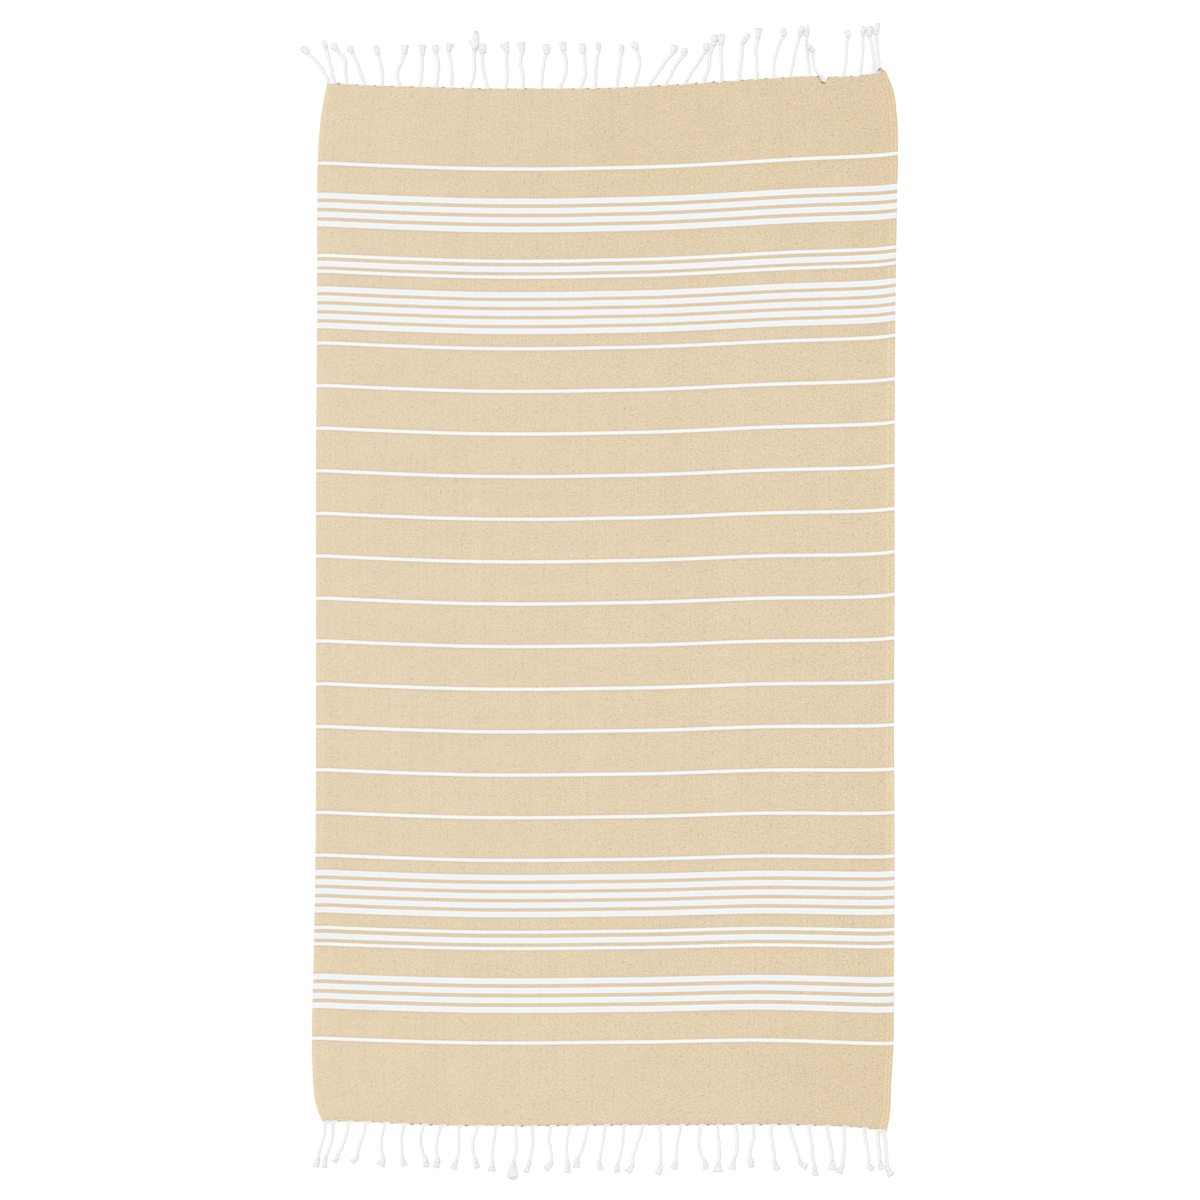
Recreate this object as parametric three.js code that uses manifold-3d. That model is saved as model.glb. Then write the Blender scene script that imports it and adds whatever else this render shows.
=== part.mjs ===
// Beach blanket: a flat-woven cotton cloth with a knotted fringe at both ends, laid out flat.
// Millimetres, +Z up. X runs across the cloth and Y along it; the cloth lies on z = 0.
import * as THREE from 'three';
import Module from 'manifold-3d';

const wasm = await Module();
wasm.setup();

// Driving dimensions
const clothThickness = 1.5;
const nearEnd = -908.4; // y of the near end, where its last weft doesn't bow
const pieceGap = 0.35; // between the cloth's last weft and the fringe's root
const rootWidth = 3; // the row of gathered warp ends that the cords grow out of
const cordWidth = 5;
const knotHeight = 9;
const tuftHeight = 4;

// How the cloth lies, from the near end to the far end. Each row is one weft: how far along the
// cloth it is, where its two ends lie, and how far it bows towards the far end at its left end,
// at its fold line right of the middle, near its right end, and at its right end.
const laidRows = [
  { along: 0, left: -479, right: 497, bowLeft: 6, bowFold: 1, bowOuter: -4, bowRight: -9 },
  { along: 30, left: -490, right: 503, bowLeft: 6, bowFold: 2, bowOuter: -3, bowRight: -7 },
  { along: 71, left: -495, right: 505, bowLeft: 7, bowFold: 3, bowOuter: -1, bowRight: -4 },
  { along: 140, left: -497, right: 509, bowLeft: 8, bowFold: 5, bowOuter: 0, bowRight: -2 },
  { along: 285, left: -494, right: 510, bowLeft: 8, bowFold: 6, bowOuter: 3, bowRight: 2 },
  { along: 460, left: -491, right: 511, bowLeft: 9, bowFold: 7, bowOuter: 6, bowRight: 6 },
  { along: 685, left: -490, right: 510, bowLeft: 9, bowFold: 8, bowOuter: 10, bowRight: 11 },
  { along: 905, left: -490, right: 511, bowLeft: 10, bowFold: 9, bowOuter: 12, bowRight: 15 },
  { along: 1125, left: -490, right: 511, bowLeft: 10, bowFold: 10, bowOuter: 15, bowRight: 18 },
  { along: 1440, left: -488, right: 513, bowLeft: 10, bowFold: 11, bowOuter: 19, bowRight: 23 },
  { along: 1600, left: -488, right: 516, bowLeft: 10, bowFold: 12, bowOuter: 21, bowRight: 24 },
  { along: 1660, left: -487, right: 517, bowLeft: 10, bowFold: 12, bowOuter: 22, bowRight: 26 },
  { along: 1720, left: -483, right: 515, bowLeft: 11, bowFold: 13, bowOuter: 23, bowRight: 28 },
  { along: 1760, left: -477, right: 509, bowLeft: 12, bowFold: 14, bowOuter: 23, bowRight: 30 },
  { along: 1793, left: -470, right: 494, bowLeft: 12, bowFold: 15, bowOuter: 24, bowRight: 33 },
];
const clothLength = laidRows.at(-1).along;

// Shares of the width at which the bows above are given; the weft is straight from 0.32 to 0.44.
const bowStations = [0, 0.16, 0.32, 0.44, 0.74, 0.94, 1];
const innerBowShare = 0.4; // of bowLeft, at the second station

// Soft ridges left by folding, each along one warp thread: its share of the width and its ends
const foldLines = [
  { across: 0.495, high: 1.8, from: -200, to: 2000 },
  { across: 0.736, high: 1.3, from: 420, to: 1420 },
];
const foldHalfWidth = 18;
const foldFade = 180;

// Corners that stand off the ground a little
const cornerLifts = [
  { across: 0, along: 0, high: 2 },
  { across: 1, along: 0, high: 3 },
  { across: 0, along: clothLength, high: 2 },
  { across: 1, along: clothLength, high: 6 },
];
const cornerReach = 75;

// One cord of the far fringe is pulled back and bites into the edge of the cloth.
const bite = { x: 388, halfWidth: 11, deep: 7, reach: 30 };

// The cords, from left to right. at: x of the root; low, high, lean: how far the cord has moved
// sideways at a third, at two thirds and at all of its reach, where its knot is; tuft, drift,
// splay: the cut ends beyond the knot, their length, sideways drift and width.
const farCords = [
  { at: -469, low: -9, high: -22, lean: -39, reach: 52, knot: 11, tuft: 10, drift: -7, splay: 9 },
  { at: -459, low: -5, high: -10, lean: -16, reach: 62, knot: 9, tuft: 14, drift: -2, splay: 8 },
  { at: -437, low: -3, high: -4, lean: -20, reach: 59, knot: 10, tuft: 12, drift: -4, splay: 9 },
  { at: -407, low: -7, high: -14, lean: -23, reach: 57, knot: 9, tuft: 10, drift: -4, splay: 9 },
  { at: -376, low: 0, high: -3, lean: -9, reach: 56, knot: 10, tuft: 13, drift: -3, splay: 9 },
  { at: -346, low: -5, high: 3, lean: 9, reach: 57, knot: 9, tuft: 13, drift: -1, splay: 13 },
  { at: -311, low: 3, high: 4, lean: 4, reach: 56, knot: 9, tuft: 15, drift: -1, splay: 14 },
  { at: -283, low: 3, high: 4, lean: -1, reach: 61, knot: 10, tuft: 12, drift: 0, splay: 9 },
  { at: -256, low: 0, high: -2, lean: -5, reach: 64, knot: 9, tuft: 13, drift: 3, splay: 13 },
  { at: -224, low: 6, high: 7, lean: 7, reach: 59, knot: 6, tuft: 36, drift: 4, splay: 12 },
  { at: -194, low: -6, high: -9, lean: -9, reach: 63, knot: 14, tuft: 11, drift: 1, splay: 10 },
  { at: -162, low: 2, high: 1, lean: 1, reach: 65, knot: 9, tuft: 12, drift: -2, splay: 15 },
  { at: -133, low: 0, high: -4, lean: -1, reach: 63, knot: 9, tuft: 14, drift: -2, splay: 13 },
  { at: -101, low: 2, high: 4, lean: 9, reach: 61, knot: 11, tuft: 12, drift: -1, splay: 11 },
  { at: -68, low: 9, high: 10, lean: 5, reach: 66, knot: 10, tuft: 12, drift: -1, splay: 12 },
  { at: -32, low: 7, high: 6, lean: 3, reach: 62, knot: 11, tuft: 13, drift: -2, splay: 10 },
  { at: -7, low: 0, high: 2, lean: 5, reach: 68, knot: 9, tuft: 10, drift: -2, splay: 8 },
  { at: 30, low: 3, high: 5, lean: 8, reach: 62, knot: 9, tuft: 11, drift: -1, splay: 8 },
  { at: 60, low: 6, high: 9, lean: 2, reach: 66, knot: 11, tuft: 12, drift: -5, splay: 10 },
  { at: 86, low: 14, high: 27, lean: 42, reach: 58, knot: 10, tuft: 12, drift: 1, splay: 11 },
  { at: 116, low: 8, high: 18, lean: 30, reach: 53, knot: 9, tuft: 11, drift: 1, splay: 12 },
  { at: 148, low: 12, high: 26, lean: 36, reach: 59, knot: 10, tuft: 12, drift: -1, splay: 10 },
  { at: 180, low: 8, high: 11, lean: 17, reach: 66, knot: 10, tuft: 14, drift: 3, splay: 10 },
  { at: 211, low: 0, high: -1, lean: -1, reach: 65, knot: 10, tuft: 15, drift: 1, splay: 10 },
  { at: 242, low: 2, high: 4, lean: 7, reach: 65, knot: 9, tuft: 13, drift: 7, splay: 8 },
  { at: 273, low: -2, high: -3, lean: 1, reach: 71, knot: 8, tuft: 14, drift: 3, splay: 12 },
  { at: 301, low: 1, high: 7, lean: 17, reach: 74, knot: 10, tuft: 9, drift: 0, splay: 9 },
  { at: 330, low: 5, high: 10, lean: 17, reach: 73, knot: 10, tuft: 9, drift: 3, splay: 8 },
  { at: 363, low: -3, high: -5, lean: -5, reach: 71, knot: 9, tuft: 12, drift: 3, splay: 7 },
  { at: 390, low: -17, high: -20, lean: -23, reach: 52, knot: 9, tuft: 9, drift: -8, splay: 8 },
  { at: 422, low: 4, high: 5, lean: 7, reach: 69, knot: 10, tuft: 11, drift: 1, splay: 7 },
  { at: 450, low: 4, high: 5, lean: 5, reach: 72, knot: 9, tuft: 12, drift: 3, splay: 8 },
  { at: 477, low: -2, high: -5, lean: -11, reach: 65, knot: 9, tuft: 13, drift: 2, splay: 8 },
  { at: 486, low: -3, high: -6, lean: -8, reach: 66, knot: 9, tuft: 14, drift: 5, splay: 8 },
];
const nearCords = [
  { at: -475, low: -2, high: -9, lean: -13, reach: 63, knot: 9, tuft: 14, drift: -2, splay: 11 },
  { at: -462, low: 0, high: -6, lean: -13, reach: 62, knot: 9, tuft: 15, drift: -1, splay: 8 },
  { at: -435, low: -3, high: -10, lean: -19, reach: 57, knot: 9, tuft: 15, drift: -5, splay: 9 },
  { at: -405, low: -4, high: -11, lean: -16, reach: 57, knot: 9, tuft: 10, drift: -6, splay: 10 },
  { at: -372, low: -5, high: -6, lean: -3, reach: 60, knot: 10, tuft: 13, drift: -3, splay: 14 },
  { at: -339, low: -4, high: -4, lean: -2, reach: 58, knot: 9, tuft: 13, drift: 4, splay: 10 },
  { at: -305, low: -5, high: -3, lean: 4, reach: 58, knot: 9, tuft: 15, drift: 1, splay: 12 },
  { at: -275, low: -6, high: -8, lean: -5, reach: 58, knot: 10, tuft: 15, drift: -3, splay: 12 },
  { at: -244, low: 0, high: 0, lean: -5, reach: 61, knot: 9, tuft: 14, drift: -4, splay: 11 },
  { at: -212, low: -6, high: -8, lean: -3, reach: 58, knot: 9, tuft: 15, drift: 3, splay: 10 },
  { at: -180, low: -3, high: -6, lean: -6, reach: 65, knot: 9, tuft: 13, drift: -1, splay: 14 },
  { at: -146, low: 1, high: 1, lean: -3, reach: 61, knot: 8, tuft: 29, drift: -2, splay: 18 },
  { at: -117, low: 1, high: -1, lean: -5, reach: 62, knot: 9, tuft: 17, drift: -3, splay: 8 },
  { at: -85, low: -3, high: 1, lean: 0, reach: 63, knot: 10, tuft: 12, drift: -7, splay: 12 },
  { at: -52, low: -5, high: -5, lean: -3, reach: 66, knot: 9, tuft: 15, drift: -1, splay: 11 },
  { at: -21, low: -4, high: -10, lean: -18, reach: 59, knot: 11, tuft: 14, drift: -1, splay: 10 },
  { at: 9, low: -3, high: -7, lean: -10, reach: 64, knot: 9, tuft: 14, drift: 3, splay: 10 },
  { at: 41, low: -1, high: -5, lean: -11, reach: 70, knot: 9, tuft: 12, drift: 0, splay: 10 },
  { at: 74, low: -7, high: -15, lean: -19, reach: 69, knot: 9, tuft: 12, drift: -4, splay: 10 },
  { at: 104, low: 1, high: 1, lean: 1, reach: 69, knot: 9, tuft: 13, drift: -1, splay: 9 },
  { at: 140, low: -5, high: -7, lean: -9, reach: 64, knot: 9, tuft: 12, drift: -3, splay: 11 },
  { at: 174, low: -3, high: -1, lean: 9, reach: 64, knot: 10, tuft: 13, drift: 0, splay: 9 },
  { at: 203, low: 2, high: 4, lean: 2, reach: 66, knot: 10, tuft: 15, drift: 0, splay: 16 },
  { at: 235, low: 3, high: 2, lean: -4, reach: 62, knot: 9, tuft: 15, drift: -2, splay: 12 },
  { at: 266, low: 0, high: -5, lean: -5, reach: 59, knot: 11, tuft: 15, drift: 3, splay: 9 },
  { at: 296, low: 1, high: 5, lean: 7, reach: 63, knot: 9, tuft: 14, drift: 4, splay: 12 },
  { at: 328, low: 6, high: 13, lean: 19, reach: 63, knot: 10, tuft: 9, drift: 6, splay: 12 },
  { at: 361, low: 5, high: 7, lean: 11, reach: 70, knot: 9, tuft: 15, drift: 1, splay: 8 },
  { at: 392, low: 5, high: 9, lean: 10, reach: 60, knot: 10, tuft: 14, drift: 0, splay: 15 },
  { at: 422, low: 1, high: 0, lean: -3, reach: 65, knot: 8, tuft: 13, drift: -5, splay: 11 },
  { at: 456, low: 5, high: 8, lean: 11, reach: 65, knot: 10, tuft: 7, drift: 7, splay: 9 },
  { at: 482, low: 0, high: 2, lean: 3, reach: 56, knot: 8, tuft: 12, drift: 3, splay: 9 },
  { at: 491, low: 4, high: 5, lean: 7, reach: 63, knot: 9, tuft: 13, drift: 5, splay: 10 },
];

// Facet counts
const clothSteps = 32; // along the cloth, closer together towards its ends
const endCrowding = 0.8;
const ringSides = 6;

// A smooth bump from 1 at the middle to 0 at halfWidth and beyond
function bump(distance, halfWidth) {
  const inside = Math.max(0, 1 - (distance / halfWidth) ** 2);
  return inside ** 2;
}

const rowCurves = new THREE.CubicInterpolant(
  laidRows.map((row) => row.along),
  laidRows.flatMap((row) => [row.left, row.right, row.bowLeft, row.bowFold, row.bowOuter, row.bowRight]),
  6,
);

// The plan shape: where the thread crossing at a share of the width and a length along it lies
function layOnGround(across, along) {
  const [left, right, bowLeft, bowFold, bowOuter, bowRight] = rowCurves.evaluate(along);
  const bows = [bowLeft, innerBowShare * bowLeft, 0, 0, bowFold, bowOuter, bowRight];
  const [bow] = new THREE.CubicInterpolant(bowStations, bows, 1).evaluate(across);
  const x = THREE.MathUtils.lerp(left, right, across);
  const endShare = Math.max(0, 1 - (clothLength - along) / bite.reach);
  const pulledBack = bite.deep * endShare * bump(x - bite.x, bite.halfWidth);
  return new THREE.Vector2(x, nearEnd + along + bow - pulledBack);
}

// How high the underside stands: zero but for the fold lines and the corners
function heightAt(across, along) {
  const [left, right] = rowCurves.evaluate(along);
  const width = right - left;
  let height = 0;
  for (const fold of foldLines) {
    const lengthFade = Math.min((along - fold.from) / foldFade, (fold.to - along) / foldFade);
    const share = THREE.MathUtils.smoothstep(lengthFade, 0, 1);
    height += fold.high * share * bump((across - fold.across) * width, foldHalfWidth);
  }
  for (const corner of cornerLifts) {
    const distance = Math.hypot((across - corner.across) * width, along - corner.along);
    height += corner.high * Math.max(0, 1 - distance / cornerReach) ** 2;
  }
  return height;
}

function underside(across, along) {
  const { x, y } = layOnGround(across, along);
  return new THREE.Vector3(x, y, heightAt(across, along));
}

// Joins a row of closed rings into one solid. Each ring turns right-handed about the way the
// rings follow each other, and its first half faces its second half, which closes the two ends.
function loft(rings) {
  const sides = rings[0].length;
  const indices = [];
  const addQuad = (a, b, c, d) => indices.push(a, b, c, a, c, d);
  for (let ring = 0; ring + 1 < rings.length; ring += 1) {
    for (let side = 0; side < sides; side += 1) {
      const here = ring * sides;
      const next = here + sides;
      const other = (side + 1) % sides;
      addQuad(here + side, here + other, next + other, next + side);
    }
  }
  const last = (rings.length - 1) * sides;
  for (let side = 0; side + 1 < sides / 2; side += 1) {
    const facing = sides - 1 - side;
    addQuad(side, facing, facing - 1, side + 1);
    addQuad(last + side, last + side + 1, last + facing - 1, last + facing);
  }
  const geometry = new THREE.BufferGeometry();
  geometry.setFromPoints(rings.flat());
  geometry.setIndex(indices);
  return geometry;
}

// Shares of the width where the cloth's facets meet: an even spread, and three more at each line
// that needs them, one on it and one at each side
function clothColumns() {
  const meanWidth = 1000;
  const biteAcross = (bite.x - laidRows.at(-1).left) / (laidRows.at(-1).right - laidRows.at(-1).left);
  const closeUps = [
    ...foldLines.map((fold) => ({ across: fold.across, halfWidth: foldHalfWidth })),
    { across: biteAcross, halfWidth: bite.halfWidth },
  ];
  const columns = [0, 0.06, 0.13, 0.2, 0.27, 0.34, 0.41, 0.57, 0.65, 0.81, 0.93, 0.97, 1];
  for (const { across, halfWidth } of closeUps) {
    columns.push(across - halfWidth / meanWidth, across, across + halfWidth / meanWidth);
  }
  return columns.sort((a, b) => a - b);
}

const columns = clothColumns();

function buildCloth() {
  const rings = [];
  for (let step = 0; step <= clothSteps; step += 1) {
    const turn = step / clothSteps;
    const crowded = turn - (endCrowding * Math.sin(2 * Math.PI * turn)) / (2 * Math.PI);
    const under = columns.map((across) => underside(across, crowded * clothLength));
    const over = under.map((point) => point.clone().setZ(point.z + clothThickness));
    rings.push([...over, ...under.reverse()]);
  }
  return loft(rings);
}

// The share of the width at which one end of the cloth passes a given x
function acrossAt(x, along) {
  const [left, right] = rowCurves.evaluate(along);
  return THREE.MathUtils.clamp((x - left) / (right - left), 0, 1);
}

// The root row of a fringe: a thin strip that follows the end of the cloth, a little apart from it.
// outward is +1 at the far end and -1 at the near end.
function fringeRoot(along, outward) {
  const rings = columns.map((across) => {
    const edge = underside(across, along);
    const inner = edge.y + outward * pieceGap;
    const outer = inner + outward * rootWidth;
    const low = Math.min(inner, outer);
    const high = Math.max(inner, outer);
    const top = edge.z + clothThickness;
    return [
      new THREE.Vector3(edge.x, low, edge.z),
      new THREE.Vector3(edge.x, high, edge.z),
      new THREE.Vector3(edge.x, high, top),
      new THREE.Vector3(edge.x, low, top),
    ];
  });
  return loft(rings);
}

// One cord as a flat-bottomed tube that rests on the ground: thin to its knot, which bulges, and
// then the tuft, which widens to its cut end.
function fringeCord(cord, along, outward) {
  const edge = underside(acrossAt(cord.at, along), along);
  const rootY = edge.y + outward * (pieceGap + rootWidth - 0.5);
  const reachY = (share) => rootY + outward * cord.reach * share;
  const knotCentre = new THREE.Vector2(cord.at + cord.lean, reachY(1));
  const tuftEnd = new THREE.Vector2(knotCentre.x + cord.drift, knotCentre.y + outward * cord.tuft);
  const neck = knotCentre.clone().lerp(tuftEnd, 0.45);
  const path = [
    { place: new THREE.Vector2(cord.at, rootY), wide: cordWidth, high: cordWidth, lift: edge.z },
    { place: new THREE.Vector2(cord.at + cord.low, reachY(1 / 3)), wide: cordWidth, high: cordWidth, lift: 0 },
    { place: new THREE.Vector2(cord.at + cord.high, reachY(2 / 3)), wide: cordWidth, high: cordWidth, lift: 0 },
    { place: knotCentre, wide: cord.knot, high: knotHeight, lift: 0 },
    { place: neck, wide: 0.6 * cord.knot, high: tuftHeight, lift: 0 },
    { place: tuftEnd, wide: cord.splay, high: tuftHeight, lift: 0 },
  ];
  const beforeKnot = path[2].place.clone().lerp(knotCentre, 0.7);
  path.splice(3, 0, { place: beforeKnot, wide: cordWidth, high: cordWidth, lift: 0 });
  const rings = path.map((station, index) => {
    const before = path[Math.max(0, index - 1)].place;
    const after = path[Math.min(path.length - 1, index + 1)].place;
    const forward = after.clone().sub(before).normalize();
    const sideways = new THREE.Vector2(forward.y, -forward.x);
    const corners = [];
    for (let side = 0; side < ringSides; side += 1) {
      const angle = (2 * Math.PI * (side + 0.5)) / ringSides;
      const out = sideways.clone().multiplyScalar((station.wide / 2) * Math.sin(angle));
      const up = (station.high / 2) * (1 + Math.cos(angle) / Math.cos(Math.PI / ringSides));
      corners.push(new THREE.Vector3(station.place.x + out.x, station.place.y + out.y, station.lift + up));
    }
    return corners;
  });
  return loft(rings);
}

function toSolid(geometry) {
  const vertProperties = geometry.getAttribute('position').array;
  const triVerts = new Uint32Array(geometry.index.array);
  return new wasm.Manifold(new wasm.Mesh({ numProp: 3, vertProperties, triVerts }));
}

function toGeometry(solid) {
  const { vertProperties, triVerts } = solid.getMesh();
  const geometry = new THREE.BufferGeometry();
  geometry.setAttribute('position', new THREE.BufferAttribute(vertProperties, 3));
  geometry.setIndex(new THREE.BufferAttribute(triVerts, 1));
  return geometry;
}

// A fringe is one comb: its root with every cord joined on
function buildFringe(cords, along, outward) {
  const root = toSolid(fringeRoot(along, outward));
  const comb = cords.reduce((joined, cord) => joined.add(toSolid(fringeCord(cord, along, outward))), root);
  return toGeometry(comb);
}

const sandCotton = new THREE.MeshStandardMaterial({ color: 0xe3d1b2, roughness: 0.95, metalness: 0 });
const whiteCotton = new THREE.MeshStandardMaterial({ color: 0xf1eff2, roughness: 0.9, metalness: 0 });

function addPiece(group, name, geometry, material) {
  geometry.computeVertexNormals();
  const mesh = new THREE.Mesh(geometry, material);
  mesh.name = name;
  group.add(mesh);
}

const blanket = new THREE.Group();
addPiece(blanket, 'cloth', buildCloth(), sandCotton);
addPiece(blanket, 'fringe_far', buildFringe(farCords, clothLength, 1), whiteCotton);
addPiece(blanket, 'fringe_near', buildFringe(nearCords, 0, -1), whiteCotton.clone());

export default blanket;
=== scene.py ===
import math

import bpy
import numpy as np
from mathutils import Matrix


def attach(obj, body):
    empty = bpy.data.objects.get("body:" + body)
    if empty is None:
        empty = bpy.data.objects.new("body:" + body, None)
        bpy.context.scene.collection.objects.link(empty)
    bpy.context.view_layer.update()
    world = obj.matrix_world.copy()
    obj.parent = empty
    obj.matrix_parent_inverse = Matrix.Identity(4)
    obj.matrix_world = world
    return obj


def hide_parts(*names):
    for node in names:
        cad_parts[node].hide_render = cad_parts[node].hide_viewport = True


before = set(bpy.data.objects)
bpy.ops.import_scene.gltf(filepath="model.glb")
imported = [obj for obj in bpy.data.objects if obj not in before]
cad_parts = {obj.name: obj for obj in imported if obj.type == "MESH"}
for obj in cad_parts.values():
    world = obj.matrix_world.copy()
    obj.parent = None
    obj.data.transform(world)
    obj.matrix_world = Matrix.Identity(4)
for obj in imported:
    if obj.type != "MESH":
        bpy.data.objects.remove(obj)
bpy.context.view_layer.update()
mm = 0.001
print("frame loaded")


# One weft a row: along the cloth from its near end, where its left and right ends lie, and how far
# it bows to the far end at its left end, its right fold line, near its right end and at that end
laidRows = np.array([
    [0, -479, 497, 6, 1, -4, -9],
    [30, -490, 503, 6, 2, -3, -7],
    [71, -495, 505, 7, 3, -1, -4],
    [140, -497, 509, 8, 5, 0, -2],
    [285, -494, 510, 8, 6, 3, 2],
    [460, -491, 511, 9, 7, 6, 6],
    [685, -490, 510, 9, 8, 10, 11],
    [905, -490, 511, 10, 9, 12, 15],
    [1125, -490, 511, 10, 10, 15, 18],
    [1440, -488, 513, 10, 11, 19, 23],
    [1600, -488, 516, 10, 12, 21, 24],
    [1660, -487, 517, 10, 12, 22, 26],
    [1720, -483, 515, 11, 13, 23, 28],
    [1760, -477, 509, 12, 14, 23, 30],
    [1793, -470, 494, 12, 15, 24, 33],
], float)
laid = {
    "length": 1793.0,
    "flatWidth": 1000.0,
    "nearEnd": -908.4,  # y of the near end where its last weft doesn't bow
    "thickness": 1.5,
    "rightDrawsIn": 1.2,  # how far the right self-edge stays inside the table
    "bowStations": np.array([0, 0.16, 0.32, 0.44, 0.74, 0.94, 1]),
    "innerBowShare": 0.4,  # of the left bow, at the second station
    "foldLines": [  # soft ridges left by folding: share of the width, height, first and last
        {"across": 0.495, "high": 0.7, "first": -200, "last": 2000},
        {"across": 0.736, "high": 0.5, "first": 420, "last": 1420},
    ],
    "foldHalfWidth": 18.0,
    "foldFade": 180.0,
    "cornerLifts": [
        {"across": 0, "along": 0, "high": 2},
        {"across": 1, "along": 0, "high": 3},
        {"across": 0, "along": 1793, "high": 2},
        {"across": 1, "along": 1793, "high": 6},
    ],
    "cornerReach": 75.0,
    "bite": {"x": 388.0, "halfWidth": 11.0, "deep": 9.0, "reach": 30.0},
    "endDriftReach": 70.0,  # how far from an end its wefts' drift fades out
}
laidRows[:, 2] -= laid["rightDrawsIn"]

# How far the stripes stand beyond the plain bow: share of the width, distance
weftDrift = np.array([
    [0, 0.7], [0.01, 1.3], [0.06, 1.2], [0.14, 0.8], [0.26, 0.5], [0.38, 1.2], [0.49, 1.2],
    [0.59, -0.2], [0.67, -0.1], [0.73, 0.6], [0.79, 1.2], [0.87, 1.2], [0.93, 0.9], [0.98, 1.1],
    [1, 2.4],
])

# How far the last wefts of each end stand towards +Y of the plain bow: share of the width, distance
farDrift = np.array([
    [0, -1], [0.07, -1.5], [0.18, 0], [0.28, 0.5], [0.38, 2], [0.52, 0], [0.60, -0.5], [0.70, 0],
    [0.79, 2], [0.87, 3.5], [0.91, 0.5], [0.96, -2.5], [1, -0.5],
])
nearDrift = np.array([
    [0, 1], [0.03, 2.4], [0.09, 2.1], [0.14, 0.9], [0.21, -0.6], [0.30, -0.3], [0.42, 0],
    [0.51, 0.8], [0.58, 0], [0.70, 0], [0.79, 1.4], [0.88, 1.7], [0.97, 1.4], [1, 0],
])


# Weights of the stations' values at each place: a cubic from station to station, whose slope at a
# station is the mean of the straight slopes on its two sides
def curveWeights(at, stations):
    values = np.eye(len(stations))
    gaps = np.diff(stations)
    straight = np.diff(values, axis=0) / gaps[:, None]
    slopes = np.vstack([straight[:1], (straight[1:] + straight[:-1]) / 2, straight[-1:]])
    at = np.clip(at, stations[0], stations[-1])
    span = np.clip(np.searchsorted(stations, at, side="right") - 1, 0, len(gaps) - 1)
    gap = gaps[span][:, None]
    part = (at - stations[span])[:, None] / gap
    rest = 1 - part
    return (
        (1 + 2 * part) * rest**2 * values[span]
        + (1 + 2 * rest) * part**2 * values[span + 1]
        + gap * part * rest**2 * slopes[span]
        - gap * part**2 * rest * slopes[span + 1]
    )


# A smooth hump: (1 - (distance / half width) squared) squared, and zero past the half width
def hump(distance, halfWidth):
    return np.maximum(0, 1 - (distance / halfWidth) ** 2) ** 2


# 3 s squared - 2 s cubed, for a share s kept between 0 and 1
def easeIn(share):
    share = np.clip(share, 0, 1)
    return share * share * (3 - 2 * share)


# Left and right end and the bows of the weft at each length along the cloth
def laidRow(along):
    return curveWeights(along, laidRows[:, 0]) @ laidRows[:, 1:]


# Plan and height of the threads' crossings: x runs straight from the left to the right end of the
# weft, y is the length along the cloth plus the bow and the ends' drift less the bite, and z is the
# sum of the fold ridges and the lifted corners
def layOnGround(across, along):
    row = laidRow(along)
    left, right, bowLeft, bowFold, bowOuter, bowRight = row.T
    flat = np.zeros_like(left)
    bowInner = laid["innerBowShare"] * bowLeft
    bows = np.stack([bowLeft, bowInner, flat, flat, bowFold, bowOuter, bowRight], 1)
    bow = (curveWeights(across, laid["bowStations"]) * bows).sum(1)
    x = left + (right - left) * across
    bite = laid["bite"]
    endShare = np.maximum(0, 1 - (laid["length"] - along) / bite["reach"])
    bitten = bite["deep"] * endShare * hump(x - bite["x"], bite["halfWidth"])
    drift = flat.copy()
    for table, fromEnd in ((farDrift, laid["length"] - along), (nearDrift, along)):
        endDrift = curveWeights(across, table[:, 0]) @ table[:, 1]
        drift += endDrift * easeIn(1 - fromEnd / laid["endDriftReach"])
    y = laid["nearEnd"] + along + bow + drift - bitten
    z = flat.copy()
    for fold in laid["foldLines"]:
        fade = np.minimum(along - fold["first"], fold["last"] - along) / laid["foldFade"]
        off = (across - fold["across"]) * (right - left)
        z += fold["high"] * easeIn(fade) * hump(off, laid["foldHalfWidth"])
    for corner in laid["cornerLifts"]:
        distance = np.hypot((across - corner["across"]) * (right - left), along - corner["along"])
        z += corner["high"] * np.maximum(0, 1 - distance / laid["cornerReach"]) ** 2
    return np.stack([x, y, z], 1)


# Share of the width = (x - left end) / (right end - left end)
def acrossAt(x, along):
    row = laidRow(np.full(len(x), along))
    return np.clip((x - row[:, 0]) / (row[:, 1] - row[:, 0]), 0, 1)


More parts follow.
